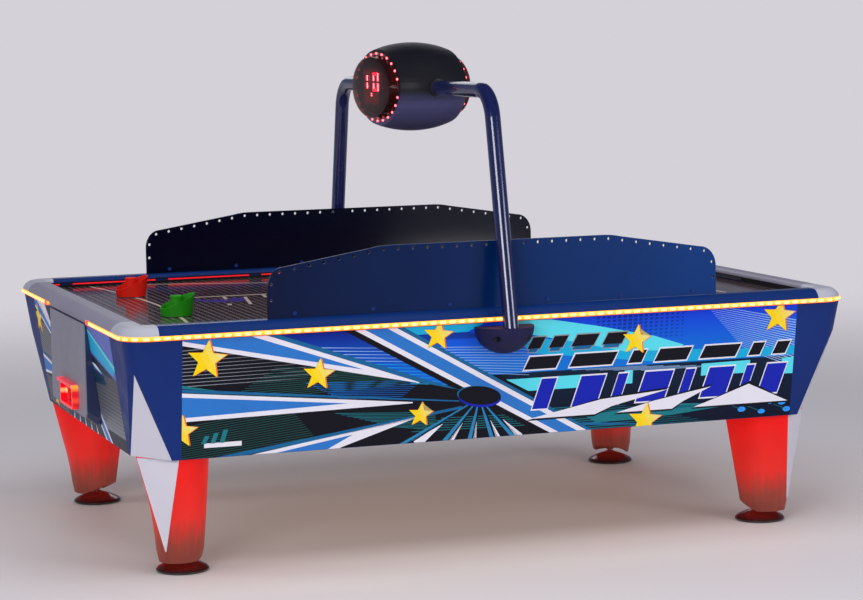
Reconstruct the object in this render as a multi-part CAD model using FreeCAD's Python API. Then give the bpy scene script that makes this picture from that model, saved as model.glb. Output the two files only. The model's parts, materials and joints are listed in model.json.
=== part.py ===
"""Full-size air hockey table: tapered cabinet on four splayed legs, lit rail, side
guards, and an oval two-sided scoreboard carried over the field on an arch.

Units are millimetres. +Z is up, X runs along the table's length, Y across it, and the
origin is on the floor under the middle of the table.
"""
import FreeCAD
import Part
import math
import os

V = FreeCAD.Vector
UP = V(0, 0, 1)
SQRT2 = math.sqrt(2)

# ---------------------------------------------------------------- driving dimensions
RAIL_HX, RAIL_HY = 1254.0, 891.0      # half length and half width over the light strip
RAIL_R = 92.0                         # plan radius of the rail's corners
RAIL_W = 88.0                         # rail width, outer edge to playing field
RAIL_Z0, RAIL_Z1 = 773.0, 818.0       # underside and crest of the rail
LED_T, LED_H = 8.0, 15.0              # light strip section
CAP_X, CAP_Y = 1138.0, 704.0          # where the corner caps meet the rails

FIELD_Z, FIELD_T = 785.0, 12.0        # playing surface height and board thickness

CAB_Z0, CAB_Z1 = 385.0, RAIL_Z0       # cabinet bottom and top
BOT_HX, BOT_HY = 1191.0, 817.0        # cabinet half sizes at the bottom
TOP_HX, TOP_HY = 1243.0, 880.0        # cabinet half sizes at the top
CAB_R = 60.0                          # cabinet corner radius
WALL = 18.0                           # cabinet wall thickness
BOARD_T = 18.0                        # bottom board thickness
POST_X, POST_Y = 1065.0, 640.0        # where panels give way to the corner posts

FACET_X, FACET_Y = 98.0, 150.0        # corner facet at the bottom, along the side and the end
FACET_TOP = 667.0                     # height of the facet's apex
PLATE_T = 3.0                         # white corner plates

LEG_WALL = 5.0
LEG_Z0 = 38.0                         # lowest edge of the leg shells
FOOT_A = 228.0                        # foot axis, in from the cabinet's corner
STEM_R, STEM_CLEAR = 8.0, 0.06        # levelling foot thread and its running clearance

CONSOLE_HY = 287.0                    # end console half width
CONSOLE_Z0, CONSOLE_HEEL = 455.0, 429.0   # end console bottom, at its face and at the cabinet
FASCIA_X, FASCIA_T = 1252.0, 4.0      # outer face and thickness of the grey fascia
POCKET_Y = (-20.0, 150.0)             # puck return pocket, to the player's right of the middle
POCKET_Z0, POCKET_Z1 = 478.0, 532.0
RING_W, RING_D = 19.0, 22.0           # lit ring round the pocket
RING_GAP, RING_LIP = 8.0, 4.0         # space between it and the pocket, and height of the pocket's lip
RING_TAIL = 50.0                      # the ring's upper bar runs on past it
GOAL_HY, GOAL_H = 240.0, 15.0         # goal slot
CHUTE_T = 3.0

GUARD_Y, GUARD_T = 840.0, 12.0        # side guard middle plane and thickness
GUARD_HX = 776.0
GUARD_SLOT = 8.0                      # depth to which a guard is let into the rail

ARCH_Y, ARCH_Z = 797.0, 1515.0        # where the post's and crossbar's axes meet
ARCH_LEAN = math.radians(11.6)
ARCH_R, ARCH_WALL, ARCH_BEND = 25.4, 3.0, 110.0
BRACKET_HX, BRACKET_D = 98.0, 120.0
BRACKET_Z0, BRACKET_Z1 = 668.0, 759.0
BRACKET_WALL = 6.0

PANEL_AX, PANEL_AY, PANEL_AZ = 230.0, 285.0, 155.0   # half axes of the scoreboard's body
PANEL_HX = 120.0                      # where the body stops and the lens begins
PANEL_WALL, PANEL_LIP = 4.0, 8.0
DOME_T = 3.0                          # thickness of the lens
DOME_Y, DOME_Z = 227.0, 112.0         # half axes of its rim
FACE_Y, FACE_Z = 213.0, 107.0         # half axes of its front
LENS_DEPTH, LENS_CROWN = 27.0, 11.0   # how far it stands out, and how far its front is domed
LIGHTS_W = 10.0                       # width of the ring of lights round the lens

MALLET_X = -945.0
MALLET_YS = {"red": 360.0, "green": -322.0}
MALLET_R = 52.0
FELT_T = 2.0
REST_GAP = 0.4                        # gap under the pieces that slide

PUCK_R, PUCK_T = 41.0, 6.0
PUCK_X, PUCK_Y = 1231.0, 65.0         # the puck waits in the right-hand pocket


# ---------------------------------------------------------------- small helpers
def box(x0, x1, y0, y1, z0, z1):
    """Box between two corners given as ranges, in any order."""
    x0, x1 = sorted((x0, x1))
    y0, y1 = sorted((y0, y1))
    z0, z1 = sorted((z0, z1))
    return Part.makeBox(x1 - x0, y1 - y0, z1 - z0, V(x0, y0, z0))


def cyl(radius, start, end):
    """Cylinder between the centres of its two end faces."""
    axis = end - start
    return Part.makeCylinder(radius, axis.Length, start, axis)


def polygon(points):
    return Part.makePolygon(points + [points[0]])


def prism(points, direction):
    return Part.Face(polygon(points)).extrude(direction)


def line(p, q):
    return Part.LineSegment(p, q).toShape()


def arc(p, q, r):
    return Part.Arc(p, q, r).toShape()


def group(shapes):
    return Part.makeCompound(shapes)


def union(first, *others):
    return first.fuse(list(others)).removeSplitter()


def half_width(z, low, high):
    """Cabinet half size at height z, from its half sizes at the bottom and the top."""
    return low + (high - low) * (z - CAB_Z0) / (CAB_Z1 - CAB_Z0)


def hx(z):
    return half_width(z, BOT_HX, TOP_HX)


def hy(z):
    return half_width(z, BOT_HY, TOP_HY)


CORNERS = {"front_left": (-1, -1), "front_right": (1, -1),
           "rear_left": (-1, 1), "rear_right": (1, 1)}
ENDS = {"left": -1, "right": 1}
SIDES = {"front": -1, "rear": 1}


def pocket(sx, deep=1100.0):
    """Space of the puck return pocket at one end, through every piece in front of the chute."""
    y0, y1 = (sx * y for y in POCKET_Y)
    return box(sx * deep, sx * 1300, y0, y1, POCKET_Z0, POCKET_Z1)


# ---------------------------------------------------------------- cabinet
def rounded_rectangle(half_x, half_y, radius, z):
    """Closed wire in a horizontal plane, starting at the +X side."""
    edges = []
    tips = [(1, -1), (1, 1), (-1, 1), (-1, -1)]
    bevel = radius * (1 - 1 / SQRT2)
    for index, (sx, sy) in enumerate(tips):
        nx, ny = tips[(index + 1) % 4]
        on_x = V(sx * half_x, sy * (half_y - radius), z)
        on_y = V(sx * (half_x - radius), sy * half_y, z)
        middle = V(sx * (half_x - bevel), sy * (half_y - bevel), z)
        first, last = (on_y, on_x) if sx * sy < 0 else (on_x, on_y)
        if nx == sx:
            following = V(nx * half_x, ny * (half_y - radius), z)
        else:
            following = V(nx * (half_x - radius), ny * half_y, z)
        edges.append(arc(first, middle, last))
        edges.append(line(last, following))
    return Part.Wire(edges)


def taper(inset, z0=CAB_Z0, z1=CAB_Z1):
    """The cabinet's tapered outline, offset inwards, as a solid between two heights."""
    wires = [rounded_rectangle(hx(z) - inset, hy(z) - inset, CAB_R - inset, z) for z in (z0, z1)]
    return Part.makeLoft(wires, True, True)


def facet(sx, sy):
    """Corners of one triangular corner facet, foot first, and its outward direction."""
    start = V(sx * (BOT_HX - FACET_X), sy * BOT_HY, CAB_Z0)
    end = V(sx * BOT_HX, sy * (BOT_HY - FACET_Y), CAB_Z0)
    bevel = CAB_R * (1 - 1 / SQRT2)
    apex = V(sx * (hx(FACET_TOP) - bevel), sy * (hy(FACET_TOP) - bevel), FACET_TOP)
    normal = (end - start).cross(apex - start)
    normal.normalize()
    if normal.x * sx < 0:
        normal = normal * -1
    return [start, end, apex], normal


def beyond_facet(sx, sy, shift):
    """Everything outside one corner facet's plane, moved outwards by shift."""
    (_, _, apex), normal = facet(sx, sy)
    size = 900
    block = Part.makeBox(size, size, size, V(-size / 2, -size / 2, 0))
    block.Placement = FreeCAD.Placement(apex + normal * shift, FreeCAD.Rotation(UP, normal))
    return block


def cabinet():
    outline = taper(0)
    outer = outline.copy()
    cavity = taper(WALL)
    plates = []
    for sx, sy in CORNERS.values():
        corners, normal = facet(sx, sy)
        triangle = prism([corner - normal * PLATE_T for corner in corners], normal * PLATE_T)
        plates.append(outline.common(triangle))
        outer = outer.cut(beyond_facet(sx, sy, 0)).cut(triangle)
        cavity = cavity.cut(beyond_facet(sx, sy, -PLATE_T - WALL))
    shell = outer.cut(cavity)
    far = 2000
    nodes = {}
    for name, sy in SIDES.items():
        zone = box(-POST_X, POST_X, 0, sy * far, CAB_Z0, CAB_Z1)
        nodes["side_panel_" + name] = shell.common(zone)
    for name, sx in ENDS.items():
        zone = box(POST_X, far, -POST_Y, POST_Y, CAB_Z0, CAB_Z1)
        if sx < 0:
            zone = box(-POST_X, -far, -POST_Y, POST_Y, CAB_Z0, CAB_Z1)
        nodes["end_panel_" + name] = shell.common(zone).cut(pocket(sx))
    posts = []
    for sx, sy in CORNERS.values():
        zone = box(sx * POST_X, sx * far, sy * POST_Y, sy * far, CAB_Z0, CAB_Z1)
        posts.append(shell.common(zone))
    nodes["corner_posts"] = group(posts)
    return nodes, plates, outer, cavity


# ---------------------------------------------------------------- legs and feet
def leg_section(z, front_a, front_b, side_a, side_b, back_a, back_b, inset=0.0):
    """Plan section of a leg: flat front, two bowed sides and a flat back.

    Lengths are measured in from the cabinet's corner (a) and out from its diagonal (b).
    """
    front = (front_a + inset, max(front_b - 0.55 * inset, 1.0))
    side = (side_a, side_b - inset)
    back = (back_a - inset, back_b - inset)
    right = [V(a, b, z) for a, b in (front, side, back)]
    left = [V(a, -b, z) for a, b in (front, side, back)]
    return Part.Wire([line(left[0], right[0]), arc(*right), line(right[2], left[2]),
                      arc(left[2], left[1], left[0])])


# height, front a and b, side a and b, back a and b
LEG_TOP = (CAB_Z0, 98.0, 82.0, 150.0, 94.0, 341.0, 42.0)
LEG_TIP = (74.0, 131.0, 6.0, 178.0, 66.0, 288.0, 37.0)
LEG_BASE = (LEG_Z0, 139.0, 5.0, 182.0, 60.0, 280.0, 34.0)
LEG_WAIST, LEG_STEPS = 4.0, 6         # how far the sides draw in halfway down
LEG_HEEL = ((215.0, 38.0), (288.0, 70.0))  # the slope under the back of the leg
LEG_PLATE_Z = (60.0, 68.0)            # plate that takes the foot's thread
LEG_FLANGE_T = 6.0                    # plate that bolts to the cabinet
LEG_BOLTS_A = (205.0, 300.0)
BOLT_R, BOLT_HEAD_R, BOLT_HEAD_H = 5.0, 9.0, 6.0


def leg_rows():
    """Section sizes from the leg's top to its foot, with the sides drawn in between."""
    rows = []
    for step in range(LEG_STEPS):
        share = step / (LEG_STEPS - 1)
        row = [top + (tip - top) * share for top, tip in zip(LEG_TOP, LEG_TIP)]
        row[4] -= LEG_WAIST * math.sin(math.pi * share)
        rows.append(row)
    return rows + [LEG_BASE]


def leg_heel(rise):
    """Wedge under the back of a leg, lifted by rise."""
    (a0, z0), (a1, z1) = LEG_HEEL
    slope = (z1 - z0) / (a1 - a0)
    start, far = a0 - 20, 420
    return prism([V(start, -200, 0), V(far, -200, 0), V(far, -200, z0 + (far - a0) * slope + rise),
                  V(start, -200, z0 - 20 * slope + rise)], V(0, 400, 0))


def leg_local():
    """One leg shell, with the cabinet's corner at the origin and +X along the diagonal."""
    rows = leg_rows()
    outer = Part.makeLoft([leg_section(*row) for row in rows], True, True)
    hollow = Part.makeLoft([leg_section(*row, inset=LEG_WALL) for row in rows], True, True)
    span = 600
    low, high = LEG_PLATE_Z
    upper = hollow.common(box(0, span, -span, span, high, CAB_Z0 - LEG_FLANGE_T))
    lower = hollow.common(box(0, span, -span, span, 0, low))
    leg = outer.cut(upper.cut(leg_heel(LEG_WALL + 2))).cut(lower).cut(leg_heel(0))
    stem = cyl(STEM_R + STEM_CLEAR, V(FOOT_A, 0, 0), V(FOOT_A, 0, high + 1))
    holes = [cyl(BOLT_R, V(a, 0, CAB_Z0 - 20), V(a, 0, CAB_Z0 + 1)) for a in LEG_BOLTS_A]
    return leg.cut(stem).cut(group(holes))


def leg_plate_local():
    """White plate on a leg's flat front: a triangle that points down."""
    top, low = LEG_TOP, LEG_TIP
    edge = 4.0
    half_top, half_low = top[2] - edge, 1.5
    corners = [V(0, half_top, CAB_Z0 - 3), V(0, half_low, low[0] + 4),
               V(0, -half_low, low[0] + 4), V(0, -half_top, CAB_Z0 - 3)]
    slope = (low[1] - top[1]) / (CAB_Z0 - low[0])
    for corner in corners:
        corner.x = top[1] + slope * (CAB_Z0 - corner.z)
    normal = (corners[1] - corners[0]).cross(corners[3] - corners[0])
    normal.normalize()
    if normal.x > 0:
        normal = normal * -1
    return prism(corners, normal * 2.0)


def to_corner(shape, sx, sy):
    """Move a shape from the leg's own frame to one corner of the cabinet."""
    placed = shape.copy()
    angle = math.degrees(math.atan2(-sy, -sx))
    placed.Placement = FreeCAD.Placement(V(sx * BOT_HX, sy * BOT_HY, 0), FreeCAD.Rotation(UP, angle))
    return placed


def foot_local():
    """Levelling foot: domed pad, lock nut and threaded stem, turned in one piece."""
    pad = [(0, 0), (80, 0), (86, 4), (86, 8), (80, 15), (65, 23), (45, 31), (25, 37), (16, 39),
           (16, 41), (STEM_R, 42), (STEM_R, 47), (13, 47), (13, 56), (STEM_R, 56),
           (STEM_R, 112), (0, 112)]
    face = Part.Face(polygon([V(FOOT_A + r, 0, z) for r, z in pad]))
    return face.revolve(V(FOOT_A, 0, 0), UP, 360)


def leg_bolt_local(a):
    under = CAB_Z0 - LEG_FLANGE_T
    head = cyl(BOLT_HEAD_R, V(a, 0, under - BOLT_HEAD_H), V(a, 0, under))
    return union(head, cyl(BOLT_R, V(a, 0, under), V(a, 0, CAB_Z0 + BOARD_T)))


def legs():
    nodes = {}
    plates, bolts = [], []
    leg, plate, foot = leg_local(), leg_plate_local(), foot_local()
    for name, (sx, sy) in CORNERS.items():
        nodes["leg_" + name] = to_corner(leg, sx, sy)
        nodes["foot_" + name] = to_corner(foot, sx, sy)
        plates.append(to_corner(plate, sx, sy))
        bolts += [to_corner(leg_bolt_local(a), sx, sy) for a in LEG_BOLTS_A]
    nodes["leg_bolts"] = group(bolts)
    return nodes, plates


# ---------------------------------------------------------------- rail and light strip
LED_END_Y = 332.0                     # the light strip stops either side of each console
LIGHT_Z0, LIGHT_Z1 = 794.0, 799.0     # red strips let into the rail's inner face
LIGHT_PITCH, LIGHT_GAP = 363.5, 50.0
LIGHT_COUNT = 6
LIGHT_STUB = (1115.0, 1136.0)         # short strips beside the corner caps


def rail_profile(place):
    """Rail section. place turns (distance in from the outer edge, height) into a point."""
    z0, z1 = RAIL_Z0, RAIL_Z1
    lip = z0 + LED_H
    p = [place(LED_T, z0), place(LED_T, lip), place(2, lip), place(15, z1 - 10),
         place(42, z1), place(74, z1), place(84, z1 - 4), place(RAIL_W, z1 - 14),
         place(RAIL_W, z0)]
    edges = [line(p[0], p[1]), line(p[1], p[2]), arc(p[2], p[3], p[4]), line(p[4], p[5]),
             arc(p[5], p[6], p[7]), line(p[7], p[8]), line(p[8], p[0])]
    return Part.Face(Part.Wire(edges))


def led_profile(place):
    z0 = RAIL_Z0
    return Part.Face(polygon([place(0, z0 + 1), place(0, z0 + LED_H - 1), place(2, z0 + LED_H),
                              place(LED_T, z0 + LED_H), place(LED_T, z0), place(2, z0)]))


def side_run(profile, sy, x0, x1):
    face = profile(lambda w, z: V(x0, sy * (RAIL_HY - w), z))
    return face.extrude(V(x1 - x0, 0, 0))


def end_run(profile, sx, y0, y1):
    face = profile(lambda w, z: V(sx * (RAIL_HX - w), y0, z))
    return face.extrude(V(0, y1 - y0, 0))


def corner_run(profile, sx, sy):
    """Quarter turn of a profile about one corner's centre."""
    centre = V(sx * (RAIL_HX - RAIL_R), sy * (RAIL_HY - RAIL_R), 0)
    face = profile(lambda w, z: centre + V(sx * (RAIL_R - w), 0, z))
    return face.revolve(centre, UP, 90 * sx * sy)


def full_corner(profile, sx, sy, x_from, y_from):
    """A corner with its two short straights, from x_from and y_from to the corner."""
    along = side_run(profile, sy, sx * x_from, sx * (RAIL_HX - RAIL_R))
    across = end_run(profile, sx, sy * y_from, sy * (RAIL_HY - RAIL_R))
    return union(corner_run(profile, sx, sy), along, across)


def guard_slot(sy, clear=0.0):
    half = GUARD_T / 2 + clear
    return box(-GUARD_HX - clear, GUARD_HX + clear, sy * (GUARD_Y - half), sy * (GUARD_Y + half),
               RAIL_Z1 - GUARD_SLOT, RAIL_Z1 + 5)


def rails():
    nodes = {}
    for name, sy in SIDES.items():
        rail = side_run(rail_profile, sy, -CAP_X, CAP_X)
        groove = box(-LIGHT_STUB[1], LIGHT_STUB[1], sy * (RAIL_HY - RAIL_W), sy * (RAIL_HY - RAIL_W + 4),
                     LIGHT_Z0, LIGHT_Z1)
        nodes["side_rail_" + name] = rail.cut(guard_slot(sy)).cut(groove)
    for name, sx in ENDS.items():
        rail = end_run(rail_profile, sx, -CAP_Y, CAP_Y)
        slot = box(sx * (RAIL_HX - RAIL_W - 1), sx * (RAIL_HX - 20), -GOAL_HY, GOAL_HY,
                   RAIL_Z0, FIELD_Z + GOAL_H)
        nodes["end_rail_" + name] = rail.cut(slot)
    caps = [full_corner(rail_profile, sx, sy, CAP_X, CAP_Y) for sx, sy in CORNERS.values()]
    nodes["corner_caps"] = group(caps)
    strips = []
    for sy in SIDES.values():
        pieces = [side_run(led_profile, sy, -CAP_X, CAP_X)]
        pieces += [full_corner(led_profile, sx, sy, CAP_X, LED_END_Y) for sx in ENDS.values()]
        strips.append(union(*pieces))
    nodes["led_strips"] = group(strips)
    lights = []
    for sy in SIDES.values():
        inner = RAIL_HY - RAIL_W
        first = -LIGHT_COUNT / 2 * LIGHT_PITCH + LIGHT_GAP / 2
        starts = [first + index * LIGHT_PITCH for index in range(LIGHT_COUNT)]
        spans = [(x, x + LIGHT_PITCH - LIGHT_GAP) for x in starts]
        spans += [LIGHT_STUB, (-LIGHT_STUB[1], -LIGHT_STUB[0])]
        for x0, x1 in spans:
            lights.append(box(x0, x1, sy * (inner + 0.5), sy * (inner + 4), LIGHT_Z0, LIGHT_Z1))
    nodes["rail_light_strips"] = group(lights)
    return nodes


# ---------------------------------------------------------------- field, plenum and blower
TRAY_HX, TRAY_HY, TRAY_Z0, TRAY_T = 1140.0, 780.0, 690.0, 12.0
DUCT_R = 75.0
INTAKE_R = 100.0
FAN_R, FAN_Z0, FAN_WALL = 150.0, 580.0, 5.0
SHAFT_R, SHAFT_CLEAR = 6.0, 0.05
INLET_X = 950.0


def field(cavity):
    nodes = {}
    fx, fy = RAIL_HX - RAIL_W, RAIL_HY - RAIL_W
    sheet = box(-fx, fx, -fy, fy, FIELD_Z - FIELD_T, FIELD_Z)
    upright = [e for e in sheet.Edges if e.BoundBox.ZLength > 1]
    nodes["playfield"] = sheet.makeFillet(RAIL_R - RAIL_W + 1, upright)
    rim = cavity.common(box(-1500, 1500, -1500, 1500, RAIL_Z0 - TRAY_T, RAIL_Z0))
    body = box(-TRAY_HX, TRAY_HX, -TRAY_HY, TRAY_HY, TRAY_Z0, RAIL_Z0 - TRAY_T)
    hollow = box(-TRAY_HX + TRAY_T, TRAY_HX - TRAY_T, -TRAY_HY + TRAY_T, TRAY_HY - TRAY_T,
                 TRAY_Z0 + TRAY_T, RAIL_Z0 + 1)
    duct = cyl(DUCT_R, V(0, 0, TRAY_Z0 - 1), V(0, 0, TRAY_Z0 + TRAY_T + 1))
    tray = union(rim, body).cut(hollow).cut(duct)
    for sx in ENDS.values():
        tray = tray.cut(box(sx * fx, sx * 1300, -GOAL_HY, GOAL_HY, TRAY_Z0, RAIL_Z0 + 1))
    nodes["plenum_tray"] = tray

    board = cavity.common(box(-1500, 1500, -1500, 1500, CAB_Z0, CAB_Z0 + BOARD_T))
    board = board.cut(cyl(INTAKE_R, V(0, 0, CAB_Z0 - 1), V(0, 0, CAB_Z0 + BOARD_T + 1)))
    inlet_hole = box(INLET_X - 24, INLET_X + 24, -14, 14, CAB_Z0 - 1, CAB_Z0 + BOARD_T + 1)
    board = board.cut(inlet_hole)
    for sx, sy in CORNERS.values():
        holes = [cyl(BOLT_R, V(a, 0, CAB_Z0 - 1), V(a, 0, CAB_Z0 + BOARD_T + 1))
                 for a in LEG_BOLTS_A]
        board = board.cut(to_corner(group(holes), sx, sy))
    nodes["bottom_board"] = board

    flange = box(INLET_X - 30, INLET_X + 30, -18, 18, CAB_Z0 - 4, CAB_Z0)
    inlet = union(flange, box(INLET_X - 24, INLET_X + 24, -14, 14, CAB_Z0, CAB_Z0 + 30))
    nodes["power_inlet"] = inlet.cut(box(INLET_X - 20, INLET_X + 20, -10, 10, CAB_Z0 - 5, CAB_Z0 + 18))
    return nodes


def intake_grille():
    """Round grille under the blower's air intake: a rim with bars across it."""
    z0, z1 = CAB_Z0 - 3, CAB_Z0
    low = V(0, 0, z0)
    high = V(0, 0, z1)
    ring = cyl(INTAKE_R + 15, low, high).cut(cyl(INTAKE_R - 6, low, high))
    disc = cyl(INTAKE_R, low, high)
    bars = [disc.common(box(-INTAKE_R, INTAKE_R, y - 3, y + 3, z0, z1))
            for y in range(-80, 81, 20)]
    return union(ring, *bars)


def blower():
    top = TRAY_Z0
    housing = cyl(FAN_R, V(0, 0, FAN_Z0), V(0, 0, top))
    hollow = cyl(FAN_R - FAN_WALL, V(0, 0, FAN_Z0 + FAN_WALL), V(0, 0, top - FAN_WALL))
    outlet = cyl(DUCT_R, V(0, 0, top - 10), V(0, 0, top + 1))
    passage = cyl(SHAFT_R + 4, V(0, 0, FAN_Z0 - 1), V(0, 0, FAN_Z0 + 10))
    housing = housing.cut(hollow).cut(outlet).cut(passage)
    for index in range(6):
        angle = math.radians(60 * index)
        x, y = 100 * math.cos(angle), 100 * math.sin(angle)
        housing = housing.cut(cyl(30, V(x, y, FAN_Z0 - 1), V(x, y, FAN_Z0 + 10)))

    motor_low = 470.0
    motor = cyl(58, V(0, 0, motor_low), V(0, 0, FAN_Z0))
    motor = motor.cut(cyl(SHAFT_R + SHAFT_CLEAR, V(0, 0, motor_low + 10), V(0, 0, FAN_Z0 + 1)))

    plate_z = FAN_Z0 + 15
    impeller = cyl(115, V(0, 0, plate_z), V(0, 0, plate_z + 4))
    ring_z = top - 25
    ring = cyl(115, V(0, 0, ring_z), V(0, 0, ring_z + 3)).cut(cyl(80, V(0, 0, ring_z), V(0, 0, ring_z + 3)))
    blade = box(82, 114, -1.5, 1.5, plate_z + 4, ring_z)
    blade.rotate(V(98, 0, 0), UP, 25)
    blades = []
    for index in range(16):
        turned = blade.copy()
        turned.rotate(V(0, 0, 0), UP, 22.5 * index)
        blades.append(turned)
    hub = cyl(22, V(0, 0, plate_z + 4), V(0, 0, plate_z + 30))
    shaft = cyl(SHAFT_R, V(0, 0, motor_low + 12), V(0, 0, plate_z + 34))
    return {"blower_housing": housing, "blower_motor": motor,
            "blower_impeller": union(impeller, ring, hub, shaft, *blades)}


def control_box():
    """Box on the bottom board for the supply and the scoring electronics."""
    z = CAB_Z0 + BOARD_T
    outer = box(420, 720, -110, 110, z, z + 90)
    return outer.cut(box(424, 716, -106, 106, z + 4, z + 86))


# ---------------------------------------------------------------- end consoles
def consoles(outer, cavity):
    nodes = {}
    fascias = []
    back = FASCIA_X - FASCIA_T
    for name, sx in ENDS.items():
        side = [(1185, RAIL_Z0 - 4), (back, RAIL_Z0 - 4), (back, CONSOLE_Z0), (1215, CONSOLE_HEEL),
                (1185, CONSOLE_HEEL)]
        block = prism([V(sx * x, -CONSOLE_HY, z) for x, z in side], V(0, 2 * CONSOLE_HY, 0))
        edges = [e for e in block.Edges
                 if max(v.Z for v in e.Vertexes) < CONSOLE_Z0 + 1
                 and abs(e.Vertexes[0].Y - e.Vertexes[-1].Y) < 1
                 and abs(e.Vertexes[0].X - e.Vertexes[-1].X) > 1]
        block = block.makeFillet(22, edges)
        nodes["console_" + name] = block.cut(outer).cut(pocket(sx))

        fascia = box(sx * back, sx * FASCIA_X, -CONSOLE_HY, CONSOLE_HY, CONSOLE_Z0, RAIL_Z0 - 4)
        edges = [e for e in fascia.Edges
                 if abs(e.Vertexes[0].Z - CONSOLE_Z0) < 1 and abs(e.Vertexes[-1].Z - CONSOLE_Z0) < 1
                 and abs(e.Vertexes[0].Y - e.Vertexes[-1].Y) < 1]
        fascias.append(fascia.makeFillet(22, edges).cut(pocket(sx)))
        nodes["return_ring_" + name] = return_ring(sx)

        nodes["goal_chute_" + name] = chute(sx, cavity)
    nodes["console_fascias"] = group(fascias)
    return nodes


def pocket_block(sx, x0, x1, margin, low_z, radius):
    """Rounded block over the pocket, wider than it by a margin, between two distances out."""
    low, high = POCKET_Y
    block = box(sx * x0, sx * x1, sx * (low - margin), sx * (high + margin), low_z, POCKET_Z1 + margin)
    return block.makeFillet(radius, [e for e in block.Edges if e.BoundBox.XLength > 1])


def return_ring(sx):
    """Lit hoop round the pocket, and the pocket's lip; its top bar runs on along the console."""
    low, high = POCKET_Y
    x0, x1 = FASCIA_X, FASCIA_X + RING_D
    hoop = pocket_block(sx, x0, x1, RING_W, POCKET_Z0 - RING_W / 2, 17)
    tail = box(sx * x0, sx * x1, sx * (low - RING_W - RING_TAIL), sx * high,
               POCKET_Z1 + RING_GAP, POCKET_Z1 + RING_W)
    inside = pocket_block(sx, x0 - 1, x1 + 1, RING_GAP, POCKET_Z0, 7)
    lip = pocket_block(sx, x0, x0 + RING_LIP, RING_GAP - 2, POCKET_Z0 - 3, 2)
    return union(union(hoop, tail).cut(inside), lip).cut(pocket(sx))


def chute(sx, cavity):
    """Duct from the goal slot down to the pocket, sloping out at its foot."""
    top = RAIL_Z0 - TRAY_T
    half = GOAL_HY + CHUTE_T
    outline = [(1160, top), (1300, top), (1300, POCKET_Z0 - CHUTE_T), (1120, POCKET_Z0 + 30),
               (1120, POCKET_Z1 + 60)]
    t = CHUTE_T
    inside = [(1160 + t, top + 1), (1290, top + 1), (1290, POCKET_Z0),
              (1120 + t, POCKET_Z0 + 30 + t), (1120 + t, POCKET_Z1 + 60)]
    duct = prism([V(sx * x, -half, z) for x, z in outline], V(0, 2 * half, 0)).common(cavity)
    lining = taper(WALL + t)
    hollow = prism([V(sx * x, -half + t, z) for x, z in inside], V(0, 2 * (half - t), 0))
    return duct.cut(hollow.common(lining)).cut(hollow.common(pocket(sx)))


# ---------------------------------------------------------------- guards
def guard_outline(sy):
    y = sy * (GUARD_Y - GUARD_T / 2)
    half = [V(GUARD_HX, y, 913), V(763, y, 960), V(720, y, 980)]
    crown = [V(434, y, 1026), V(404, y, 1031), V(369, y, 1033)]
    base = RAIL_Z1 - GUARD_SLOT

    def other(p):
        return V(-p.x, p.y, p.z)

    edges = [line(V(GUARD_HX, y, base), half[0]), arc(*half), line(half[2], crown[0]),
             arc(*crown), line(crown[2], other(crown[2])),
             arc(other(crown[2]), other(crown[1]), other(crown[0])),
             line(other(crown[0]), other(half[2])),
             arc(other(half[2]), other(half[1]), other(half[0])),
             line(other(half[0]), V(-GUARD_HX, y, base)),
             line(V(-GUARD_HX, y, base), V(GUARD_HX, y, base))]
    return Part.Face(Part.Wire(edges))


SCREW_XS = (-690, -430, -170, 170, 430, 690)
SCREW_R, SCREW_HEAD_R, SCREW_HEAD_H = 3.0, 6.5, 3.0
SCREW_Z = RAIL_Z1 + 14


def guards():
    nodes = {}
    screws = []
    for name, sy in SIDES.items():
        plate = guard_outline(sy).extrude(V(0, sy * GUARD_T, 0))
        near, far = sy * (GUARD_Y - GUARD_T / 2), sy * (GUARD_Y + GUARD_T / 2)
        for x in SCREW_XS:
            a, b = V(x, near, SCREW_Z), V(x, far, SCREW_Z)
            step = V(0, sy * SCREW_HEAD_H, 0)
            shank = cyl(SCREW_R, a, b)
            plate = plate.cut(shank)
            screws.append(union(shank, cyl(SCREW_HEAD_R, a - step, a), cyl(SCREW_HEAD_R, b, b + step)))
        nodes["guard_" + name] = plate
    nodes["guard_screws"] = group(screws)
    return nodes


# ---------------------------------------------------------------- arch and brackets
def arch_point(z, sy):
    """Point on a post's axis at height z."""
    return V(0, sy * (ARCH_Y + (ARCH_Z - z) * math.tan(ARCH_LEAN)), z)


POST_FOOT_Z = 722.0
ARCH_END_Y = 252.0
COLLAR_Y = 262.0


def arch_tube(sy, radius):
    """Post, bend and half crossbar, swept along one path at the given radius."""
    turn = math.pi / 2 - ARCH_LEAN
    reach = ARCH_BEND * math.tan(turn / 2)
    down = V(0, sy * math.sin(ARCH_LEAN), -math.cos(ARCH_LEAN))
    corner = V(0, sy * ARCH_Y, ARCH_Z)
    foot = arch_point(POST_FOOT_Z, sy)
    bend_start = corner + down * reach
    bend_end = corner + V(0, -sy * reach, 0)
    towards = (down + V(0, -sy, 0)).normalize()
    centre = corner + towards * (ARCH_BEND / math.sin((math.pi - turn) / 2))
    middle = centre - towards * ARCH_BEND
    end = V(0, sy * ARCH_END_Y, ARCH_Z)
    path = Part.Wire([line(foot, bend_start), arc(bend_start, middle, bend_end), line(bend_end, end)])
    ring = Part.Wire(Part.makeCircle(radius, foot, bend_start - foot))
    return path.makePipeShell([ring], True, False)


BRACKET_BOLT_X, BRACKET_BOLT_Z = 55.0, 725.0
BRACKET_BOLT_DEPTH = 12.0             # how far the heads sit below the bracket's skin


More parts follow.
